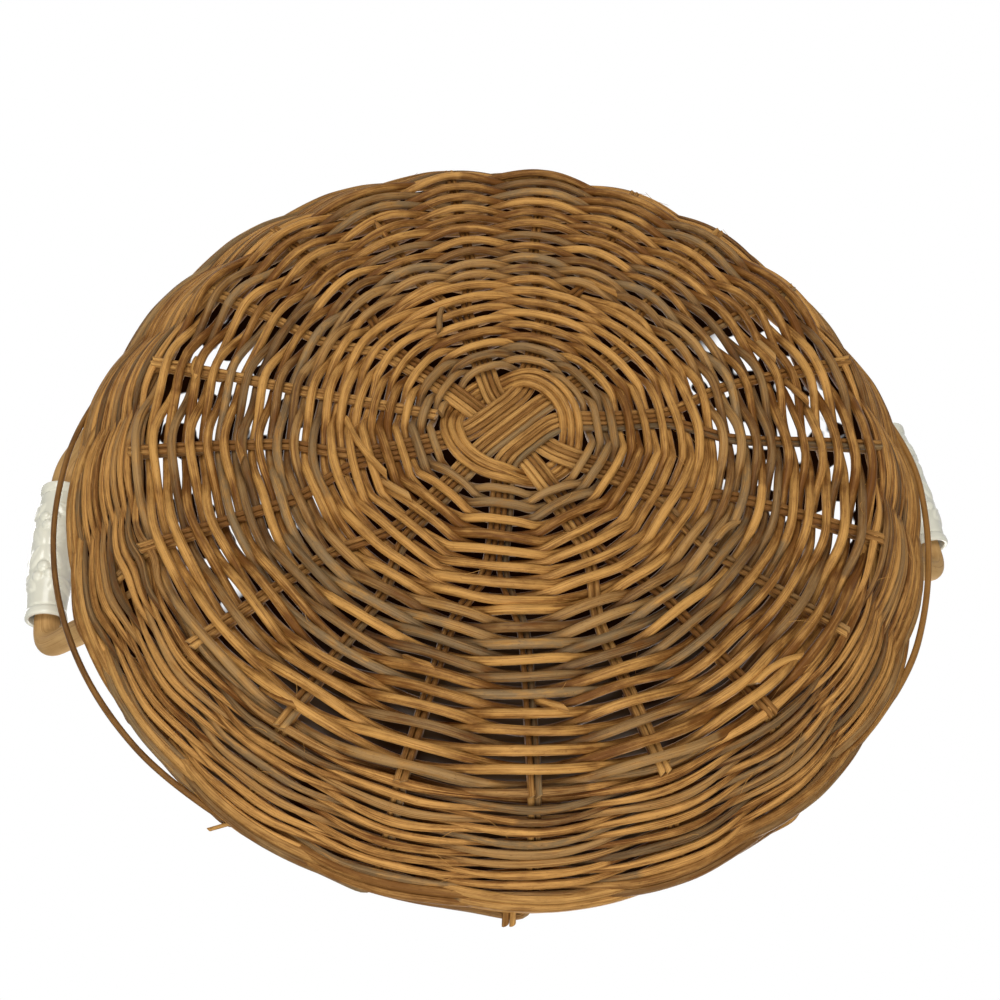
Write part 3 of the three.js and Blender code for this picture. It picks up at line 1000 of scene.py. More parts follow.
def angle_at(path: np.ndarray, radius: float) -> float:
    """The angle at which a cane end passes a radius.

    Args:
        path: Corners of the cane end, outwards.
        radius: The radius.

    Returns:
        The angle about the origin.
    """
    reach = np.hypot(path[:, 0], path[:, 1])
    index = 1
    while index < len(path) - 1 and reach[index] < radius:
        index += 1
    share = max(0.0, (radius - reach[index - 1]) / (reach[index] - reach[index - 1]))
    point = path[index - 1] + share * (path[index] - path[index - 1])
    return math.atan2(point[1], point[0])


@dataclass
class Bundle:
    """Canes that lie side by side through the cross."""

    name: str
    canes: int
    angle: float
    layer: float
    first_spoke: int


@dataclass
class BaseCross:
    """The cross of two bundles, whose ends fan out into groups of four and then pairs of spokes."""

    sizes: Measures
    stock: CaneStock
    bundles: tuple[Bundle, ...] = (
        Bundle("upper_cross_cane", 8, math.radians(55), 1.0, 1),
        Bundle("lower_cross_cane", 12, math.radians(143), -1.0, 5),
    )
    group_canes: int = 4
    reach: float = 19.0
    fan_passes: int = 6
    inserted_start: float = 34.6
    # Painted shade: spokes are darkened between these rings, where they run under the weave.
    painted_shade: float = 0.32
    painted_shade_rings: Span = (28.0, 166.0)
    painted_shade_run: float = 16.0
    cut_slant: float = 0.5
    ease_passes: int = 6
    step: float = 3.0
    sides: int = 10
    sides_of_cross: list[list[np.ndarray]] = field(default_factory=list)
    spokes: list[list[np.ndarray]] = field(default_factory=list)

    def fan_out(self, start: np.ndarray, fan_angle: float, spoke: int, half: int) -> np.ndarray:
        """Corners of one cane end, from the edge of the cross outwards.

        Args:
            start: Where the end leaves the cross.
            fan_angle: Its direction there.
            spoke: The spoke that it belongs to.
            half: Which of the spoke's two canes it is.

        Returns:
            The corners, in order.
        """
        sizes = self.sizes
        pair_offset = (half - 0.5) * sizes.cane_pitch
        pair_place = sizes.cane_pitch if spoke % 2 == 0 else -sizes.cane_pitch
        ray = sizes.group_angle(math.ceil(spoke / 2))
        group_line = PlanLine(ray, pair_place + pair_offset)
        split_from = beside_ray(sizes.split_radius, ray, pair_place)
        spoke_angle = sizes.spoke_angle(spoke)
        split = PlanLine.through(split_from, bearing(split_from, polar(sizes.split_end_radius, spoke_angle)))
        split = PlanLine(split.angle, split.offset + pair_offset)
        level = sizes.spoke_level
        return np.array([
            start,
            PlanLine.through(start, fan_angle).meet(group_line, level),
            group_line.meet(split, level),
            split.meet(PlanLine(spoke_angle, pair_offset), level),
            beside_ray(sizes.spoke_end_radius, spoke_angle, pair_offset, level),
        ])

    def fan_side(self, bundle: Bundle, angle: float, first_spoke: int) -> list[np.ndarray]:
        """The cane ends on one side of a bundle, in order to the left.

        Args:
            bundle: The bundle.
            angle: Direction of that side.
            first_spoke: The first spoke that the ends become.

        Returns:
            The corners of each cane end.
        """
        sizes = self.sizes
        offsets = (np.arange(bundle.canes) - (bundle.canes - 1) / 2) * sizes.cane_pitch
        reaches = np.full(bundle.canes, self.reach)
        turns = np.zeros(bundle.canes)
        for _ in range(self.fan_passes):
            for cane in range(bundle.canes):
                block = cane // self.group_canes
                middle = (block + 0.5) * self.group_canes - 0.5
                low = int(middle)
                reach = (reaches[low] + reaches[low + 1]) / 2
                target = polar(sizes.group_radius, sizes.group_angle((first_spoke + 1) // 2 + block))
                offset = (offsets[low] + offsets[low + 1]) / 2
                turn = bearing(beside_ray(reach, angle, offset), target) - angle
                turns[cane] = turn - TURN * round(turn / TURN)
            mitres = np.tan((turns[:-1] + turns[1:]) / 4)
            reaches = np.concatenate([[0.0], -np.cumsum(sizes.cane_pitch * mitres)])
            reaches += self.reach - reaches.max()
        level = sizes.spoke_level + bundle.layer * sizes.layer_offset
        return [self.fan_out(beside_ray(reaches[cane], angle, offsets[cane], level), angle + turns[cane],
                             first_spoke + cane // 2, cane % 2) for cane in range(bundle.canes)]

    def build(self, material: bpy.types.Material) -> None:
        """Makes every cane of the cross and the pair pushed in beside it.

        Args:
            material: Material of the canes.
        """
        near_sides, far_sides = [], []
        opposite = sum(bundle.canes for bundle in self.bundles) // 2
        for bundle in self.bundles:
            near = self.fan_side(bundle, bundle.angle, bundle.first_spoke)
            far = self.fan_side(bundle, bundle.angle + math.pi, bundle.first_spoke + opposite)
            near_sides.append(near)
            far_sides.append(far)
            for cane in range(bundle.canes):
                corners = np.concatenate([near[cane][::-1], far[bundle.canes - 1 - cane]])
                self.add_cane(f"{bundle.name}_{cane + 1:02d}", corners, material)
        self.sides_of_cross = near_sides + far_sides
        inserted = []
        for half in range(2):
            offset = (half - 0.5) * self.sizes.cane_pitch
            path = np.array([beside_ray(radius, self.sizes.spoke_angle(0), offset, self.sizes.spoke_level)
                             for radius in (self.inserted_start, self.sizes.spoke_end_radius)])
            inserted.append(path)
            self.add_cane(f"inserted_cane_{half + 1:02d}", path, material)
        self.spokes = [inserted]
        for side in self.sides_of_cross:
            self.spokes += [side[place:place + 2] for place in range(0, len(side), 2)]

    def add_cane(self, node: str, corners: np.ndarray, material: bpy.types.Material) -> None:
        """Makes one cane that stands for a solid.

        Args:
            node: The solid.
            corners: Corners of the cane, in order.
            material: Its material.
        """
        line = self.sizes.lift(eased(corners, self.step, self.ease_passes))
        strand = self.stock.strand(line, self.sizes.cane / 2, slant=self.cut_slant)
        # Painted shade on the spoke where it runs under the weave.
        radius = np.hypot(line[:, 0], line[:, 1])
        first, last = self.painted_shade_rings
        under = smooth((radius - first) / self.painted_shade_run) * smooth((last - radius) / self.painted_shade_run)
        strand.light = strand.light - self.painted_shade * under
        maker = MeshMaker()
        maker.add_strand(strand, self.sides)
        place(maker.finish(f"{node}_look", material), Body.BASKET, Slot.SPOKE, node)


@dataclass(frozen=True)
class LooseEnd:
    """The cut end of a weaver across the rows: its start, its turn from the row and its length.

    Angles are in degrees.
    """

    angle: float
    radius: float
    turn: float
    length: float


@dataclass
class BaseWeave:
    """The weavers of the base: the binding of the cross, rows over groups and rows over pairs."""

    sizes: Measures
    stock: CaneStock
    cross: BaseCross
    weaver_radius: float = 2.02
    binding_radius: float = 1.7
    binding_start: float = 21.5
    binding_rounds: int = 3
    inner_rounds: int = 15
    last_radius: float = 163.4
    step: float = 2.5
    sides: int = 10
    drift: float = 0.85
    drift_waves: Values = (38.0, 47.0, 61.0, 83.0, 110.0)
    own_drift: float = 0.38
    own_waves: Values = (49.0, 71.0, 113.0, 190.0)
    stray_seed: int = 11
    level_drift: float = 0.12
    level_rate: float = 2.3
    band_inset: float = 0.2
    widest_bay: float = 0.6
    bay_share: float = 0.55
    straight_share: float = 0.75
    straight_start: float = 60.0
    straight_run: float = 40.0
    tuck_lead: float = 2.0
    # Painted shade on the weavers where they pass into the weave.
    painted_shade: float = 0.3
    cut_slant: float = 0.9
    end_radius: float = 1.55
    end_slant: float = 1.5
    end_points: int = 12
    end_bow: float = 0.06
    end_gap: float = 0.2
    end_rise: float = 6.0
    hairs: int = 26
    hair_lift: Span = (0.0, 0.12)
    loose_ends: tuple[LooseEnd, ...] = (
        LooseEnd(74.0, 81.0, 119.0, 24.0),
        LooseEnd(9.6, 75.0, 146.0, 40.0),
        LooseEnd(5.0, 120.0, 171.0, 22.0),
        LooseEnd(20.0, 149.0, 155.0, 17.0),
        LooseEnd(-46.0, 158.0, 177.0, 15.0),
        LooseEnd(-62.0, 120.0, -172.0, 13.0),
        LooseEnd(-86.0, 128.0, -151.0, 14.0),
        LooseEnd(173.0, 133.0, -8.0, 17.0),
        LooseEnd(161.0, 131.0, 6.0, 17.0),
        LooseEnd(-130.0, 158.0, 14.0, 27.0),
        LooseEnd(68.0, 124.0, -99.0, 14.0),
        LooseEnd(118.0, 100.0, 24.0, 20.0),
        LooseEnd(-20.0, 64.0, 160.0, 18.0),
        LooseEnd(212.0, 108.0, 20.0, 19.0),
    )
    slipping: Drift = field(init=False)
    straying: Drift = field(init=False)

    def band(self, canes: list[np.ndarray], radius: float, after: float) -> tuple[float, float]:
        """The two edges of a band of canes at a radius.

        Args:
            canes: Corners of each cane of the band.
            radius: The radius.
            after: Angle turned so far.

        Returns:
            The angles of its two edges, which follow on from the turns so far.
        """
        base = angle_at(canes[0], radius)
        lead = base + TURN * math.ceil((after - base) / TURN)
        away = np.array([angle_at(path, radius) for path in canes]) - base
        angles = lead + away - TURN * np.round(away / TURN)
        margin = self.sizes.cane / 2 / radius
        return float(angles.min() - margin), float(angles.max() + margin)

    def slip(self, places: np.ndarray) -> np.ndarray:
        """How far rows have slipped outwards at places in plan."""
        return self.drift * self.slipping(places[:, :2])

    def wind(self, bands: list[list[np.ndarray]], start: float, pitch: float, crossings: int,
             starts_up: bool, swing_up: Callable[[float], float], swing_down: float,
             polygon: Callable[[np.ndarray], np.ndarray]) -> np.ndarray:
        """One weaver wound over and under bands of canes.

        Args:
            bands: The canes of each band, in order round the base.
            start: Radius of the first row.
            pitch: Distance between rows.
            crossings: How many bands it crosses in all.
            starts_up: Whether it passes above the first band.
            swing_up: How far it rises above the spokes, by radius.
            swing_down: How far it dips below them.
            polygon: How straight it lies across a band, from 0 to 1, by radius.

        Returns:
            Points along the weaver.
        """
        count = len(bands)
        angles, radii, levels, middles = [], [], [], []
        after = -math.pi / count
        for crossing in range(crossings + 1):
            radius = start + pitch * crossing / count
            low, high = self.band(bands[crossing % count], radius, after)
            after = (low + high) / 2
            is_up = (crossing % 2 == 0) == starts_up
            inset = self.band_inset * (high - low)
            angles += [low + inset, high - inset]
            radii += [radius, radius]
            levels += [swing_up(radius) if is_up else -swing_down] * 2
            middles.append(after)
        angle_knots, radius_knots, level_knots = np.array(angles), np.array(radii), np.array(levels)
        mean = (radius_knots[1:] + radius_knots[:-1]) / 2
        travel = np.concatenate([[0.0], np.cumsum(np.diff(angle_knots) * mean)])
        spots = np.arange(0.0, travel[-1], self.step)
        angle = np.interp(spots, travel, angle_knots)
        radius = np.interp(spots, travel, radius_knots)
        index = np.clip(np.searchsorted(travel, spots, side="right") - 1, 0, len(travel) - 2)
        share = (spots - travel[index]) / (travel[index + 1] - travel[index])
        level = level_knots[index] + (level_knots[index + 1] - level_knots[index]) * smooth(share)
        middle = np.array(middles)
        nearest = np.clip(np.searchsorted((middle[1:] + middle[:-1]) / 2, angle), 0, len(middle) - 1)
        away = np.clip(angle - middle[nearest], -self.widest_bay, self.widest_bay)
        straight = math.cos(self.bay_share * math.pi / count) / np.cos(away)
        radius = radius * (1 + polygon(radius) * (straight - 1))
        plan = polar(radius, angle)
        radius = radius + self.slip(plan) + self.own_drift * self.straying(spots)
        level = level + self.level_drift * self.slipping(plan[:, :2] * self.level_rate)
        return polar(radius, angle, self.sizes.spoke_level + level)

    def end_line(self, end: LooseEnd) -> np.ndarray:
        """Points along a loose end, which comes up from between two rows and lies on their surface.

        Args:
            end: The loose end.

        Returns:
            The points.
        """
        angle = math.radians(end.angle)
        start = polar(end.radius, angle)
        heading = polar(1.0, angle + math.pi / 2 + math.radians(end.turn))
        share = np.linspace(0.0, 1.0, self.end_points)[:, None]
        bow = self.end_bow * end.length * np.sin(math.pi * share) * np.cross(UP, heading)
        line = start + share * end.length * heading + bow
        line[:, 2] = self.end_radius + self.end_gap + self.end_rise * (1 - share[:, 0]) ** 2
        return line

    def straightness(self, radius: np.ndarray) -> np.ndarray:
        """How straight the rows of the inner weave lie across a group of canes, by radius."""
        return self.straight_share * (1 - smooth((radius - self.straight_start) / self.straight_run))

    def build(self, material: bpy.types.Material) -> None:
        """Makes the binding and the two weavers.

        Args:
            material: Material of the weavers.
        """
        sizes = self.sizes
        self.slipping = Drift(self.stock.rng, self.drift_waves, 2)
        self.straying = Drift(np.random.default_rng(self.stray_seed), self.own_waves)
        groups = [self.cross.spokes[0]]
        for group in range(1, sizes.groups):
            groups.append(self.cross.spokes[2 * group - 1] + self.cross.spokes[2 * group])
        contact = sizes.cane / 2 + self.weaver_radius
        pitch = sizes.row_pitch
        binding_swing = sizes.layer_offset + sizes.cane / 2 + self.binding_radius
        tuck_start = sizes.tuck_radius - self.tuck_lead
        sides_of_cross = self.cross.sides_of_cross
        lines = {
            "cross_binding": self.wind(
                sides_of_cross, self.binding_start, 2 * self.binding_radius,
                len(sides_of_cross) * self.binding_rounds, True,
                lambda radius: binding_swing, binding_swing, np.zeros_like),
            "base_weaver_inner": self.wind(
                groups, sizes.outer_weave_radius - self.inner_rounds * pitch, pitch,
                self.inner_rounds * sizes.groups, False,
                lambda radius: contact, contact, self.straightness),
            "base_weaver_outer": self.wind(
                self.cross.spokes, sizes.outer_weave_radius, pitch,
                round((self.last_radius - sizes.outer_weave_radius) / pitch * sizes.spokes), True,
                lambda radius: contact + (sizes.stake_pitch if radius > tuck_start else 0.0),
                contact, np.zeros_like),
        }
        for node, line in lines.items():
            radius = self.binding_radius if node == "cross_binding" else self.weaver_radius
            # Painted shade: each weaver is darkened where it passes to the inside of the base, behind the
            # spokes.
            depth = CREVICE.painted_shade((line[:, 2] - sizes.spoke_level + contact) / (2 * contact))
            line = sizes.lift(line)
            strand = self.stock.strand(line, radius, slant=self.cut_slant)
            strand.light = strand.light - self.painted_shade * depth
            strand.radius = np.minimum(strand.radius, line[:, 2])
            maker = MeshMaker()
            maker.add_strand(strand, self.sides)
            if node == "base_weaver_outer":
                for end in self.loose_ends:
                    loose = self.stock.strand(self.end_line(end), self.end_radius, slant=self.end_slant)
                    maker.add_strand(loose, self.sides)
            if node != "cross_binding":
                down = np.tile(-UP, (len(line), 1))
                maker.add_hairs(Fuzz(self.stock.rng, self.hairs), strand, down, self.hair_lift)
            place(maker.finish(f"{node}_look", material), Body.BASKET, Slot.WEAVER, node)


@dataclass
class SideStakes:
    """Doubled stakes tucked into the base, up the wall and folded down along the rim as the border."""

    sizes: Measures
    stock: CaneStock
    cane_radius: float = 1.32
    border_radius: float = 1.9
    thick_start: float = 0.36
    thick_run: float = 0.1
    spread: float = 1.32
    foot_slopes: Values = (-6.0, -2.0, 2.0, 6.0)
    fold_lead: float = 5.0
    folds: Span = (0.4, 2.4)
    border_spread: float = 1.7
    border_steps: float = 2.75
    border_spare: Span = (-0.12, 0.2)
    border_drop: float = 4.0
    border_start: float = 0.05
    border_points: int = 40
    out_steps: Values = (0.0, 0.4, 1.0, 1.45, 1.9, 2.25, 2.6, 3.0)
    out_shares: Values = (0.0, -0.8, -1.0, 0.3, 1.15, 0.9, -0.1, -1.0)
    down_steps: Values = (0.0, 0.1, 0.4, 1.0, 2.0, 3.0)
    down_lengths: Values = (0.2, 1.3, 3.8, 5.4)
    cut_slant: float = 1.2
    stub_stake: int = 15
    stub_turn: float = math.radians(2.6)
    stub_reach: Span = (-9.0, 2.6)
    stub_out: float = 1.0
    stub_radius: float = 1.35
    stub_slant: float = 0.5
    twig_stake: int = 17
    twig_length: float = 13.0
    twig_radius: float = 0.8
    twig_drop: float = 3.0
    twig_out: float = 2.0
    twig_heading: Values = (0.6, 0.72, 0.2)
    twig_slant: float = 0.8
    end_points: int = 6
    sag: float = 0.9
    sag_waves: Values = (60.0, 85.0, 120.0)
    sag_rate: float = 50.0
    sag_apart: float = 400.0
    step: float = 2.4
    ease_passes: int = 4
    sides: int = 9
    wander: Drift = field(init=False)

    def line(self, spoke: int, offset: float, tail: float, fold: float) -> np.ndarray:
        """Points along one cane of a stake.

        Args:
            spoke: The spoke that the stake stands on.
            offset: Which side of the middle of the stake the cane lies on, as -1 or 1.
            tail: How many steps it runs along the rim.
            fold: How far its fold stands above the rim.

        Returns:
            Points from the tucked end to the end of the border.
        """
        sizes = self.sizes
        angle = sizes.spoke_angle(spoke)
        beside = offset * self.spread * polar(1.0, angle + math.pi / 2)
        top = sizes.wall_length
        slopes = (*self.foot_slopes, top - self.border_drop - self.fold_lead)
        foot = [polar(sizes.tuck_radius, angle, sizes.tuck_level)]
        foot += [sizes.on_wall(angle, slope, 0.0) for slope in slopes]
        along = np.linspace(self.border_start, tail, self.border_points)
        out = np.interp(along, self.out_steps, self.out_shares)
        down = np.interp(along, self.down_steps, (-fold, -fold, *self.down_lengths))
        apart = np.full(self.border_points, self.sag_apart * spoke)
        down = down + self.sag * self.wander(np.stack([along * self.sag_rate, apart], axis=1))
        ring = angle + along * sizes.spoke_step
        slope = top - self.border_drop - down - offset * self.border_spread
        rim = sizes.on_wall(ring, slope, out * sizes.stake_pitch)
        return eased(np.concatenate([np.array(foot) + beside, rim]), self.step, self.ease_passes)

    def build(self, material: bpy.types.Material) -> None:
        """Makes the stakes.

        Args:
            material: Material of the stakes.
        """
        self.wander = Drift(self.stock.rng, self.sag_waves, 2)
        for spoke in range(self.sizes.spokes):
            maker = MeshMaker()
            fold = self.stock.rng.uniform(*self.folds)
            for offset in (-1.0, 1.0):
                tail = self.border_steps + self.stock.rng.uniform(*self.border_spare)
                line = self.line(spoke, offset, tail, fold)
                strand = self.stock.strand(line, self.cane_radius, slant=self.cut_slant)
                share = np.linspace(0.0, 1.0, len(line))
                thick = smooth((share - self.thick_start) / self.thick_run)
                strand.radius = strand.radius * (1 + (self.border_radius / self.cane_radius - 1) * thick)
                maker.add_strand(strand, self.sides)
            if spoke == self.stub_stake:
                for offset in (-1.0, 1.0):
                    line = self.stub_line(spoke, offset)
                    stub = self.stock.strand(line, self.stub_radius, slant=self.stub_slant)
                    maker.add_strand(stub, self.sides)
            if spoke == self.twig_stake:
                twig = self.stock.strand(self.twig_line(spoke), self.twig_radius, slant=self.twig_slant)
                maker.add_strand(twig, self.sides)
            node = f"side_stake_{spoke + 1:02d}"
            place(maker.finish(f"{node}_look", material), Body.BASKET, Slot.SPOKE, node)

    def twig_line(self, spoke: int) -> np.ndarray:
        """Points along the split end of a stake, which stands out under the border.

        Args:
            spoke: The spoke that the stake stands on.

        Returns:
            The points.
        """
        sizes = self.sizes
        angle = sizes.spoke_angle(spoke)
        slope = sizes.wall_length - self.border_drop - self.twig_drop
        root = sizes.on_wall(angle, slope, self.twig_out)
        upwards, aside, outwards = self.twig_heading
        heading = upwards * sizes.wall_tangent(angle) + aside * polar(1.0, angle + math.pi / 2)
        heading = heading + outwards * polar(1.0, angle)
        return root + np.linspace(0.0, self.twig_length, self.end_points)[:, None] * heading

    def stub_line(self, spoke: int, offset: float) -> np.ndarray:
        """Points along one cane of a stake's cut end, which pokes out past the border.

        Args:
            spoke: The spoke that the stake stands on.
            offset: Which side of the middle of the stake the cane lies on, as -1 or 1.

        Returns:
            The points.
        """
        sizes = self.sizes
        angle = sizes.spoke_angle(spoke) + self.stub_turn
        top = sizes.wall_length
        low, high = (sizes.on_wall(angle, top + reach, self.stub_out) for reach in self.stub_reach)
        beside = offset * self.stub_radius * polar(1.0, angle + math.pi / 2)
        return low + np.linspace(0.0, 1.0, self.end_points)[:, None] * (high - low) + beside


@dataclass
class SideWeave:
    """The weaver of the wall, round and round in front of one stake and behind the next."""

    sizes: Measures
    stock: CaneStock
    half_width: float = 1.82
    flatness: float = 0.7
    pinch: float = 0.3
    first_row: float = -5.5
    top_gap: float = 4.4
    pitch: float = 2.32
    swing: float = 2.5
    sharpness: float = 0.7
    drift: float = 0.6
    drift_waves: Values = (33.0, 41.0, 58.0, 77.0, 112.0)
    own_drift: float = 0.45
    own_waves: Values = (63.0, 97.0, 151.0, 233.0)
    own_rate: float = 50.0
    out_drift: float = 0.2
    out_start: float = 900.0
    # Painted shade on the weaver where it passes behind the stakes.
    painted_shade: float = 0.25
    cut_slant: float = 0.9
    parting_angle: float = math.radians(-19.0)
    parting_slope: float = 15.0
    parting_push: float = 2.2
    parting_run: float = 2.5
    parting_reach: float = 9.0
    hairs: int = 60
    hair_lift: Span = (0.05, 0.5)
    step: float = 2.6
    sides: int = 10

    def build(self, material: bpy.types.Material) -> None:
        """Makes the weaver.

        Args:
            material: Its material.
        """
        sizes = self.sizes
        last = sizes.wall_length - self.top_gap
        crossings = int((last - self.first_row) / self.pitch * sizes.spokes)
        per_span = int(round(sizes.spoke_step * sizes.bend_radius / self.step))
        crossing = np.arange(crossings * per_span + 1) / per_span
        angle = sizes.spoke_angle(crossing)
        slope = self.first_row + self.pitch * crossing / sizes.spokes
        plan = polar(sizes.bend_radius + slope, angle)
        travel = crossing * self.own_rate
        wander = Drift(self.stock.rng, self.drift_waves, 2)
        own = Drift(self.stock.rng, self.own_waves)
        slope = slope + self.drift * wander(plan[:, :2]) + self.own_drift * own(travel)
        aside = away_from(self.parting_angle, angle) * sizes.bend_radius / self.parting_reach
        side = np.tanh((slope - self.parting_slope) / self.parting_run)
        slope = slope + self.parting_push * side * np.exp(-(aside ** 2))
        wave = np.tanh(self.sharpness * np.cos(math.pi * crossing)) / math.tanh(self.sharpness)
        out = self.swing * wave + self.out_drift * own(travel + self.out_start)
        strand = self.stock.strand(sizes.on_wall(angle, slope, out), self.half_width, slant=self.cut_slant)
        # Painted shade: the weaver is darkened where it passes behind a stake.
        strand.light = strand.light - self.painted_shade * CREVICE.painted_shade((1 - wave) / 2)
        strand.radius = strand.radius * (1 - self.pinch * (1 - wave ** 2))
        strand.out = sizes.wall_normal(angle, slope)
        strand.flatness = self.flatness
        maker = MeshMaker()
        maker.add_strand(strand, self.sides)
        maker.add_hairs(Fuzz(self.stock.rng, self.hairs), strand, strand.out, self.hair_lift)
        place(maker.finish("side_weaver_look", material), Body.BASKET, Slot.WEAVER, "side_weaver")


@dataclass(frozen=True)
class HoopStand:
    """Where the hoop stands off the rim: its middle and half its reach in degrees, and how far off it is."""

    angle: float
    reach: float
    gap: float


@dataclass
class RimHoop:
    """The loose hoop round the rim, which stands off beside the handles."""

    sizes: Measures
    stock: CaneStock
    climb: float = 5.0
    climb_inwards: float = 0.8
    stands: tuple[HoopStand, ...] = (HoopStand(345.0, 31.0, 4.0), HoopStand(200.0, 22.0, 0.3))
    ease: float = math.radians(20)
    wobble: float = 0.7
    wobble_waves: Values = (110.0, 170.0, 260.0, 390.0)
    wobble_seated: float = 0.2
    wobble_free: float = 0.2
    rise_waves: Values = (120.0, 190.0, 310.0)
    rise_share: float = 0.8
    lap: float = 0.16
    lap_angle: float = math.radians(118)
    lap_lift: float = 1.3
    lap_start: float = 0.9
    lap_run: float = 0.1
    cut_slant: float = 1.4
    steps: int = 420
    sides: int = 10

    def build(self, material: bpy.types.Material) -> None:
        """Makes the hoop, its ends lapped. At the front and back it has ridden up on the border.

        Args:
            material: Its material.
        """
        sizes = self.sizes
        slope = sizes.wall_length - 2 * sizes.stake_pitch + sizes.half(sizes.stake)
        angle = self.lap_angle + np.linspace(0.0, TURN + self.lap, self.steps)
        seat = sizes.on_wall(angle, slope, sizes.stake_pitch + sizes.half(sizes.stake))
        near = np.hypot(seat[:, 0], seat[:, 1]) + sizes.clearance + sizes.hoop / 2
        travel = angle * sizes.bend_radius
        wave = Drift(self.stock.rng, self.wobble_waves)(travel)
        rise = Drift(self.stock.rng, self.rise_waves)(travel)
        share = np.linspace(-1.0, 1.0, self.steps)
        raised, lowered = (smooth((sign * share - self.lap_start) / self.lap_run) for sign in (1.0, -1.0))
        lapped = self.lap_lift * (raised - lowered)
        free, off = np.zeros(self.steps), np.zeros(self.steps)
        for stand in self.stands:
            away = np.abs(away_from(math.radians(stand.angle), angle))
            reach = math.radians(stand.reach)
            free = np.maximum(free, smooth((reach - away) / self.ease + 0.5))
            off += stand.gap * smooth(1 - away / reach)
        ridden = self.climb * (1 - free)
        wobble = self.wobble * wave * (self.wobble_seated + self.wobble_free * off)
        radius = near + off - self.climb_inwards * ridden + wobble
        level = seat[:, 2] + ridden + self.rise_share * self.wobble * rise + lapped
        strand = self.stock.strand(polar(radius, angle, level), sizes.hoop / 2, slant=self.cut_slant)
        maker = MeshMaker()
        maker.add_strand(strand, self.sides)
        place(maker.finish("rim_hoop_look", material), Body.BASKET, Slot.HOOP, "rim_hoop")


@dataclass(frozen=True)
class Berry:
    """A round berry in the relief: its place along and round the sleeve, and its radius."""

    along: float
    around: float
    radius: float


@dataclass(frozen=True)
class Leaf:
    """A leaf in the relief: its place, its direction from the sleeve's axis and its half sizes."""

    along: float
    around: float
    turn: float
    length: float
    width: float


class SleeveOutline(NamedTuple):
    """The section of a sleeve: places along it, radii, shares of the relief, and 1 where it is the bore."""

    places: np.ndarray
    radii: np.ndarray
    weights: np.ndarray
    is_bore: np.ndarray


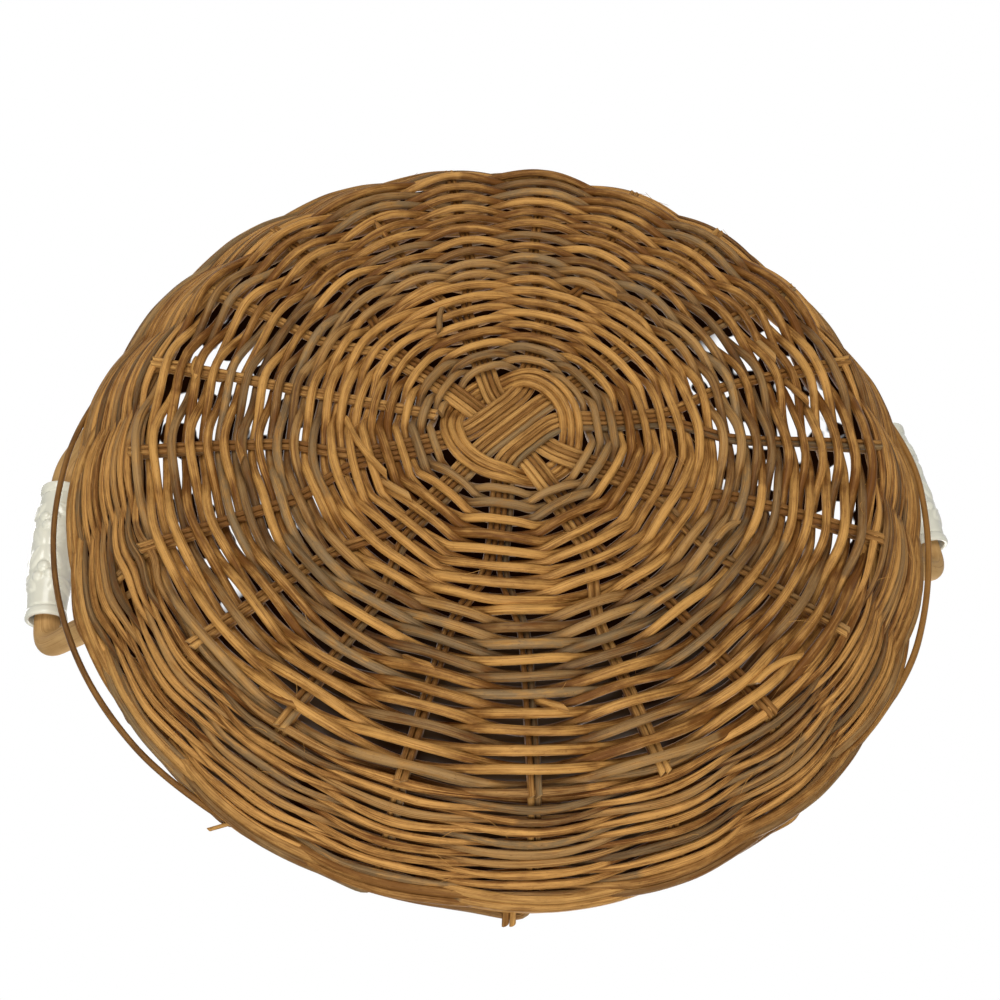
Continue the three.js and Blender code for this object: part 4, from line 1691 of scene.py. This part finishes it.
@dataclass
class Handle:
    """A bowed handle and the loose ceramic sleeve on its grip."""

    sizes: Measures
    stock: CaneStock
    side: str
    turn: float
    overhang: float
    body: Body
    bow_diameter: float = 12.0
    leg_span: float = 114.0
    top_span: float = 102.0
    corner_radius: float = 14.0
    leg_start: float = 16.0
    rim_rise: float = 9.0
    grip_rise: float = 45.0
    bend_points: int = 9
    bow_step: float = 2.0
    bow_passes: int = 4
    bow_sides: int = 28
    sleeve_length: float = 74.0
    sleeve_diameter: float = 19.0
    sleeve_swell: float = 1.4
    sleeve_bore: float = 15.0
    sleeve_collar: float = 5.0
    sleeve_arch: float = 1.2
    sleeve_lip: float = 1.0
    lip_points: int = 9
    bore_points: int = 12
    body_ease: float = 2.5
    body_inset: float = 0.7
    collar_flare: float = 0.15
    groove_depth: float = 0.45
    groove_width: float = 0.8
    hollow_height: float = 0.08
    hollow_run: float = 0.3
    leaf_height: float = 0.7
    leaf_tip: float = 1.2
    leaf_edge: float = 0.6
    rib_depth: float = 0.35
    rib_width: float = 0.16
    berry_height: float = 1.3
    ring_depth: float = 0.35
    ring_place: float = 1.05
    ring_width: float = 0.25
    sprays: int = 3
    first_spray: float = math.radians(228)
    spray_place: float = 15.0
    spray_shift: float = 3.0
    spray_berries: tuple[Berry, ...] = (Berry(-3.4, 0.0, 2.7), Berry(1.6, 0.26, 2.5), Berry(0.6, -0.3, 2.3))
    spray_leaves: tuple[Leaf, ...] = (Leaf(-9.0, 0.45, 0.5, 8.5, 4.6), Leaf(5.5, 0.8, -0.9, 7.0, 4.0))
    solid_sides: int = 20
    rings: int = 170
    around: int = 132

    @property
    def reach(self) -> float:
        """How far out the grip is."""
        return abs(float(self.sizes.on_wall(self.turn, self.sizes.wall_length, 0.0)[0])) + self.overhang

    @property
    def grip_height(self) -> float:
        """Height of the middle of the bow's grip."""
        return float(self.sizes.on_wall(0.0, self.sizes.wall_length, 0.0)[2]) + self.grip_rise

    def turned(self, points: np.ndarray) -> np.ndarray:
        """Points of the right handle turned to this handle's side."""
        spin = np.array(Matrix.Rotation(self.turn, 3, "Z"))
        return points @ spin.T

    def inside_wall(self, slope: float, across: float) -> np.ndarray:
        """Where a leg lies inside the wall.

        Args:
            slope: Length up the wall from its foot.
            across: Place of the leg across the handle.

        Returns:
            The point on the leg's middle, for the right handle.
        """
        sizes = self.sizes
        stake = sizes.half(sizes.stake)
        weave = sizes.half(sizes.side_weaver)
        spacing = 2 * sizes.bend_radius * math.sin(sizes.spoke_step / 2)
        swing = (stake + sizes.clearance + weave) / (1 - 2 * stake / spacing)
        inward = max(swing + weave, sizes.stake_pitch + stake) + sizes.clearance + self.bow_diameter / 2
        middle = sizes.on_wall(self.turn, slope, -inward)
        angle = self.turn + math.asin(across / math.hypot(middle[0], middle[1]))
        leg = sizes.on_wall(angle, slope, -inward)
        return np.array([math.sqrt(leg[0] ** 2 + leg[1] ** 2 - across ** 2), across, leg[2]])

    def bow_line(self) -> np.ndarray:
        """Points along the bow, from leg end to leg end.

        Returns:
            The points, for the right handle.
        """
        halves = []
        for side in (-1, 1):
            across = side * self.leg_span / 2
            leg = self.inside_wall(self.leg_start, across)
            neck = self.inside_wall(self.sizes.wall_length + self.rim_rise, across)
            corner = np.array([self.reach, side * self.top_span / 2, self.grip_height])
            middle = np.array([self.reach, 0.0, self.grip_height])
            start = corner + (neck - corner) * self.corner_radius / np.linalg.norm(neck - corner)
            end = corner + (middle - corner) * self.corner_radius / np.linalg.norm(middle - corner)
            share = np.linspace(0.0, 1.0, self.bend_points)[:, None]
            bend = (1 - share) ** 2 * start + 2 * share * (1 - share) * corner + share ** 2 * end
            halves.append(np.concatenate([[leg, neck], bend]))
        return eased(np.concatenate([halves[0], halves[1][::-1]]), self.bow_step, self.bow_passes)

    def build_bow(self, material: bpy.types.Material) -> None:
        """Makes the bow of bare bent wood.

        Args:
            material: Its material.
        """
        strand = self.stock.strand(self.turned(self.bow_line()), self.bow_diameter / 2)
        maker = MeshMaker()
        maker.add_strand(strand, self.bow_sides)
        node = f"{self.side}_handle_bow"
        place(maker.finish(f"{node}_look", material), Body.BASKET, Slot.BOW, node)

    def ornaments(self) -> tuple[list[Berry], list[Leaf]]:
        """Berries and leaves of the relief, in sprays set out the same way on every sleeve.

        Returns:
            The berries and the leaves.
        """
        berries, leaves = [], []
        for spray in range(self.sprays):
            around = self.first_spray + TURN * spray / self.sprays
            for end in (-1.0, 1.0):
                middle = self.spray_place * end + self.spray_shift * (spray % 2)
                for berry in self.spray_berries:
                    berries.append(Berry(middle + end * berry.along, around + berry.around, berry.radius))
                for side in (-1.0, 1.0):
                    for leaf in self.spray_leaves:
                        leaves.append(Leaf(middle + leaf.along * end, around + leaf.around * side,
                                           leaf.turn * side * end, leaf.length, leaf.width))
        return berries, leaves

    def relief(self, along: np.ndarray, around: np.ndarray) -> np.ndarray:
        """Height of the soft relief over the body of the sleeve.

        Args:
            along: Places along the sleeve.
            around: Angles round it.

        Returns:
            The height at each place.
        """
        berries, leaves = self.ornaments()
        girth = self.sleeve_diameter / 2
        height = np.zeros_like(along)
        for leaf in leaves:
            p = along - leaf.along
            q = away_from(leaf.around, around) * girth
            lengthwise = (p * math.cos(leaf.turn) + q * math.sin(leaf.turn)) / leaf.length
            across = (-p * math.sin(leaf.turn) + q * math.cos(leaf.turn)) / leaf.width
            inside = np.clip(1 - lengthwise ** 2, 0.0, 1.0)
            blade = smooth(inside * self.leaf_tip) * smooth((inside - np.abs(across)) / self.leaf_edge)
            rib = self.rib_depth * np.exp(-((across / self.rib_width) ** 2)) * inside
            height = np.maximum(height, self.leaf_height * blade * (1 - rib))
        for berry in berries:
            p = along - berry.along
            q = away_from(berry.around, around) * girth
            away = np.hypot(p, q) / berry.radius
            dome = self.berry_height * np.sqrt(np.clip(1 - away ** 2, 0.0, None))
            ring = self.ring_depth * np.exp(-(((away - self.ring_place) / self.ring_width) ** 2))
            height = np.maximum(height - ring, dome)
        return height

    def sleeve_outline(self) -> SleeveOutline:
        """The section of the sleeve: round a lip, along the outside, round a lip and back in the bore.

        Returns:
            The section, round to its start.
        """
        bore = self.sleeve_bore / 2
        outside = self.sleeve_diameter / 2
        body = self.sleeve_length / 2 - self.sleeve_collar
        lip = self.sleeve_lip
        end = self.sleeve_length / 2 - lip
        along = np.linspace(-end, end, self.rings)
        past = np.abs(along) - body
        in_body = smooth(-past / self.body_ease)
        swelling = self.sleeve_swell * np.clip(1 - (along / body) ** 2, 0.0, 1.0)
        collar = outside - self.collar_flare * np.cos(past / self.sleeve_collar * math.pi)
        groove = self.groove_depth * np.exp(-((past / self.groove_width) ** 2))
        radius = np.where(in_body > 0, outside - self.body_inset + swelling, collar) - groove
        middle, thickness = (bore + outside) / 2, (outside - bore) / 2
        bend = np.linspace(0.0, math.pi, self.lip_points)
        outline = [(-end - lip * math.sin(turn), middle - thickness * math.cos(turn)) for turn in bend]
        outline += zip(along[1:-1], radius[1:-1])
        outline += [(end + lip * math.sin(turn), middle + thickness * math.cos(turn)) for turn in bend]
        outline += [(spot, bore) for spot in np.linspace(end, -end, self.bore_points)[1:-1]]
        weights, is_bore = np.zeros(len(outline)), np.zeros(len(outline))
        weights[self.lip_points:self.lip_points + self.rings - 2] = in_body[1:-1]
        is_bore[2 - self.bore_points:] = 1.0
        places, radii = np.array(outline).T
        return SleeveOutline(places, radii, weights, is_bore)

    def build_sleeve(self, material: bpy.types.Material) -> None:
        """Makes the sleeve: straight bore, swelling outside with its relief, a plain collar at each end.

        Args:
            material: Its material.
        """
        outline = self.sleeve_outline()
        count = len(outline.places)
        angle = TURN * np.arange(self.around) / self.around
        along = np.repeat(outline.places[:, None], self.around, axis=1)
        around = np.repeat(angle[None, :], count, axis=0)
        weights = outline.weights[:, None]
        relief = self.relief(along, around) * weights
        radius = outline.radii[:, None] + relief
        rise = np.clip(1 - (along / (self.sleeve_length / 2)) ** 2, 0.0, 1.0)
        arch = self.sleeve_arch * rise * (1 - outline.is_bore)[:, None]
        points = np.stack([radius * np.cos(around) + arch, along, radius * np.sin(around)], axis=-1)
        lean = np.array(Matrix.Rotation(-self.sizes.wall_angle, 3, "Y"))
        bore = self.sleeve_bore / 2 * math.cos(math.pi / self.solid_sides)
        drop = bore - self.bow_diameter / 2 - self.sizes.clearance
        points = points.reshape(-1, 3) @ lean.T + np.array([self.reach, 0.0, self.grip_height - drop])
        # The hollow mark for the glaze: pooled glaze and painted shade where the relief lies low.
        hollow = smooth((self.hollow_height - relief) / self.hollow_run) * weights
        clay = np.repeat(outline.is_bore[:, None], self.around, axis=1)
        marks = np.stack([hollow, clay, np.zeros_like(hollow)], axis=-1).reshape(-1, 3)
        ring, side = tube_grid(count, self.around)
        after, other = (ring + 1) % count, (side + 1) % self.around
        faces = np.stack([ring * self.around + side, ring * self.around + other, after * self.around + other,
                          after * self.around + side], axis=1)
        spots = np.stack([along, around], axis=-1).reshape(-1, 2)
        maker = MeshMaker()
        maker.add(self.turned(points), marks, faces, spots[faces])
        node = f"{self.side}_handle_sleeve"
        place(maker.finish(f"{node}_look", material, RELIEF_MARK), self.body, Slot.GLAZE, node)


# Studio


@dataclass(frozen=True)
class Lamp:
    """A soft square lamp that faces the basket: its place and size in metres, and its power in watts."""

    name: str
    position: tuple[float, float, float]
    size: float
    power: float


@dataclass
class Studio:
    """Pale floor, dark backdrop inside the basket, soft lamps and the camera at the viewing angle.

    The floor's size and fade, the open and lit parts of the backdrop and the camera's place are in metres.
    """

    floor_size: float = 40.0
    floor_level: float = -0.1
    floor_colour: Colour = (0.5, 0.5, 0.5)
    floor_glow: float = 0.5
    floor_fade: Span = (0.5, 2.2)
    floor_noise: Span = (30.0, 3.0)
    floor_roughness: float = 0.7
    floor_rough_depth: float = 0.1
    fill: float = 0.14
    shade_dark: Colour = (0.022, 0.009, 0.003)
    shade_light: Colour = (0.13, 0.12, 0.11)
    shade_level: float = 16.0
    shade_inset: float = 5.0
    shade_sides: int = 84
    shade_rings: Values = (1.0, 50.0, 100.0, 150.0, 158.0)
    shade_slopes: Values = (4.0, 12.0, 24.0, 36.0, 48.0)
    open_slant: float = 0.9
    open_sides: Span = (0.052, 0.066)
    open_rings: Span = (0.093, 0.158)
    open_noise: Span = (55.0, 1.0)
    open_share: Span = (0.5, 0.53)
    lit_noise: Span = (25.0, 2.0)
    lit_share: Span = (0.35, 0.6)
    lit_front: Span = (0.085, 0.125)
    lamps: tuple[Lamp, ...] = (
        Lamp("lamp below", (0.1, 0.2, -0.9), 0.55, 6.1),
        Lamp("lamp in front", (0.1, -0.8, -0.55), 0.6, 7.0),
        Lamp("lamp above", (-0.5, -0.6, 1.3), 1.2, 15.0),
        Lamp("lamp behind", (0.6, 0.8, 1.1), 1.0, 8.0),
    )
    lens: float = 38.1
    sensor_width: float = 36.0
    clip_start: float = 0.01
    camera_place: Vector = Vector((-0.0023, -0.281, 0.3775))
    camera_pitch: float = math.radians(57.8)
    camera_roll: float = math.radians(5.5)
    stand: Matrix = Matrix.Rotation(math.radians(11.5), 3, "Z") @ Matrix.Diagonal((-1.0, 1.0, -1.0))

    def build_camera(self) -> None:
        """Sets the camera, which looks up at the underside of the base."""
        pitch, roll = self.camera_pitch, self.camera_roll
        ahead = Vector((0.0, math.cos(pitch), -math.sin(pitch)))
        level, above = Vector((1.0, 0.0, 0.0)), Vector((0.0, math.sin(pitch), math.cos(pitch)))
        right = math.cos(roll) * level + math.sin(roll) * above
        up = -math.sin(roll) * level + math.cos(roll) * above
        axes = Matrix((right, up, -ahead)).transposed()
        data = bpy.data.cameras.new("view camera")
        data.lens = self.lens
        data.sensor_width = self.sensor_width
        data.clip_start = self.clip_start
        camera = bpy.data.objects.new("view camera", data)
        spot = Matrix.Translation(self.stand @ self.camera_place)
        camera.matrix_world = spot @ (self.stand @ axes).to_4x4()
        bpy.context.scene.collection.objects.link(camera)
        bpy.context.scene.camera = camera

    def build_lamp(self, lamp: Lamp) -> None:
        """Adds one lamp.

        Args:
            lamp: The lamp.
        """
        data = bpy.data.lights.new(lamp.name, "AREA")
        data.size = lamp.size
        data.energy = lamp.power
        light = bpy.data.objects.new(lamp.name, data)
        light.location = lamp.position
        light.rotation_mode = "QUATERNION"
        light.rotation_quaternion = (-Vector(lamp.position)).to_track_quat("-Z", "Y")
        bpy.context.scene.collection.objects.link(light)

    def build_world(self) -> None:
        """White behind the basket, and even grey light on it."""
        world = bpy.data.worlds.new("studio")
        world.use_nodes = True
        world.node_tree.nodes.clear()
        graph = Graph(world.node_tree)
        path = graph.node("ShaderNodeLightPath", {}).outputs
        seen = graph.math("MAXIMUM", path["Is Camera Ray"],
                          graph.math("MAXIMUM", path["Is Glossy Ray"], path["Is Transmission Ray"]))
        strength = graph.math("MULTIPLY_ADD", seen, 1.0 - self.fill, self.fill)
        sky = graph.node("ShaderNodeBackground", {"Color": WHITE, "Strength": strength})
        graph.node("ShaderNodeOutputWorld", {"Surface": sky.outputs[0]})
        bpy.context.scene.world = world

    def front_seen(self, graph: Graph) -> bpy.types.NodeSocket:
        """Where the camera sees the front of a backdrop.

        Args:
            graph: Graph of the backdrop's material.

        Returns:
            1 where its front is seen, and 0 elsewhere.
        """
        path = graph.node("ShaderNodeLightPath", {}).outputs
        back = graph.node("ShaderNodeNewGeometry", {}).outputs["Backfacing"]
        return graph.math("MULTIPLY", path["Is Camera Ray"], graph.math("SUBTRACT", 1.0, back))

    def show(self, graph: Graph, shown: bpy.types.NodeSocket, shader: bpy.types.Node) -> None:
        """Ends a backdrop's material, which is clear where it isn't shown.

        Args:
            graph: Graph of the material.
            shown: 1 where the backdrop is shown.
            shader: Its shader there.
        """
        clear = graph.node("ShaderNodeBsdfTransparent", {})
        both = graph.node("ShaderNodeMixShader", {0: shown, 1: clear.outputs[0], 2: shader.outputs[0]})
        graph.node("ShaderNodeOutputMaterial", {"Surface": both.outputs[0]})

    def backdrop(self, name: str, points: list[Any], faces: list[Any],
                 material: bpy.types.Material) -> bpy.types.Object:
        """A new backdrop, in metres.

        Args:
            name: Name of the backdrop.
            points: Its points.
            faces: Corners of each face.
            material: Its material.

        Returns:
            The new object.
        """
        mesh = bpy.data.meshes.new(name)
        mesh.from_pydata(points, [], faces)
        mesh.materials.append(material)
        made = bpy.data.objects.new(name, mesh)
        bpy.context.scene.collection.objects.link(made)
        return made

    def build_floor(self, finishes: Finishes) -> None:
        """A floor that shows from above and lets the view from below through.

        Args:
            finishes: Maker of the materials.
        """
        material, graph = finishes.blank("floor")
        spot = graph.node("ShaderNodeTexCoord", {}).outputs["Object"]
        rough = graph.math("MULTIPLY_ADD", graph.noise(spot, *self.floor_noise), self.floor_rough_depth,
                           self.floor_roughness)
        shader = graph.node("ShaderNodeBsdfPrincipled", {
            "Base Color": self.floor_colour, "Roughness": rough, "Specular IOR Level": 0.0,
            "Emission Color": WHITE, "Emission Strength": self.floor_glow})
        white = graph.node("ShaderNodeEmission", {"Color": WHITE, "Strength": 1.0})
        reach = graph.node("ShaderNodeVectorMath", {0: spot}, operation="LENGTH").outputs["Value"]
        ground = graph.node("ShaderNodeMixShader", {0: graph.ramp(reach, *self.floor_fade),
                                                    1: shader.outputs[0], 2: white.outputs[0]})
        self.show(graph, self.front_seen(graph), ground)
        half, level = self.floor_size / 2, self.floor_level * MM
        corners = [(-half, -half, level), (half, -half, level), (half, half, level), (-half, half, level)]
        floor = self.backdrop("floor", corners, [(0, 1, 2, 3)], material)

    def build_shade(self, finishes: Finishes, sizes: Measures) -> None:
        """A dark backdrop behind the weave: the shaded inside of the basket, seen only from outside.

        Args:
            finishes: Maker of the materials.
            sizes: Sizes of the basket.
        """
        material, graph = finishes.blank("inside shade")
        spot = graph.node("ShaderNodeTexCoord", {}).outputs["Object"]
        parts = graph.node("ShaderNodeSeparateXYZ", {0: spot}).outputs
        beside = graph.math("MULTIPLY_ADD", graph.math("ABSOLUTE", parts[1]), -self.open_slant,
                            graph.math("ABSOLUTE", parts[0]))
        reach = graph.node("ShaderNodeVectorMath", {0: spot}, operation="LENGTH").outputs["Value"]
        ring = graph.math("MULTIPLY", graph.math("GREATER_THAN", reach, self.open_rings[0]),
                          graph.math("LESS_THAN", reach, self.open_rings[1]))
        patches = graph.ramp(graph.noise(spot, *self.open_noise), *self.open_share)
        open_side = graph.math("MULTIPLY", graph.ramp(beside, *self.open_sides), ring)
        open_side = graph.math("MULTIPLY", open_side, patches)
        shown = graph.math("MULTIPLY", self.front_seen(graph), graph.math("SUBTRACT", 1.0, open_side))
        cloud = graph.ramp(graph.noise(spot, *self.lit_noise), *self.lit_share)
        front = graph.ramp(graph.math("MULTIPLY", parts[1], -1.0), *self.lit_front)
        colour = graph.mix(graph.math("MULTIPLY", cloud, front), self.shade_dark, self.shade_light)
        shader = graph.node("ShaderNodeBsdfPrincipled", {"Base Color": colour, "Roughness": 1.0,
                                                         "Specular IOR Level": 0.0})
        self.show(graph, shown, shader)
        sides = self.shade_sides
        angles = TURN * np.arange(sides) / sides
        rings = [polar(radius, angles, self.shade_level) for radius in self.shade_rings]
        rings += [sizes.on_wall(angles, slope, -self.shade_inset) for slope in self.shade_slopes]
        ring, side = tube_grid(len(rings) - 1, sides)
        here, after, other = ring * sides, (ring + 1) * sides, (side + 1) % sides
        faces = np.stack([here + side, here + other, after + other, after + side], axis=1)
        points = np.concatenate(rings) * MM
        shade = self.backdrop("inside_shade", points.tolist(), faces.tolist(), material)

    def build(self, finishes: Finishes, sizes: Measures) -> None:
        """Makes the whole studio.

        Args:
            finishes: Maker of the materials.
            sizes: Sizes of the basket.
        """
        bpy.context.scene.view_settings.view_transform = "Standard"
        self.build_camera()
        self.build_world()
        self.build_floor(finishes)
        self.build_shade(finishes, sizes)
        for lamp in self.lamps:
            self.build_lamp(lamp)


def main() -> None:
    """Builds every piece in order."""
    finishes = Finishes()
    sizes = Measures()
    Studio().build(finishes, sizes)
    rng = np.random.default_rng(SEED)
    weaver, spoke, side, hoop, bow = (finishes.cane(finish) for finish in (
        WEAVER_FINISH, SPOKE_FINISH, SIDE_FINISH, HOOP_FINISH, BOW_FINISH))
    glaze = finishes.glaze(SLEEVE_FINISH)
    cross = BaseCross(sizes, CaneStock(rng, grey_share=0.15))
    cross.build(spoke)
    BaseWeave(sizes, CaneStock(rng), cross).build(weaver)
    SideStakes(sizes, CaneStock(rng, light=(0.15, 0.65))).build(spoke)
    SideWeave(sizes, CaneStock(rng, light=(0.32, 0.92))).build(side)
    RimHoop(sizes, CaneStock(rng)).build(hoop)
    wood = CaneStock(rng, grey_share=0.0)
    for handle in (
        Handle(sizes, wood, side="right", turn=0.0, overhang=20.0, body=Body.RIGHT_SLEEVE),
        Handle(sizes, wood, side="left", turn=math.pi, overhang=21.0, body=Body.LEFT_SLEEVE),
    ):
        handle.build_bow(bow)
        handle.build_sleeve(glaze)


if __name__ == "__main__":
    main()
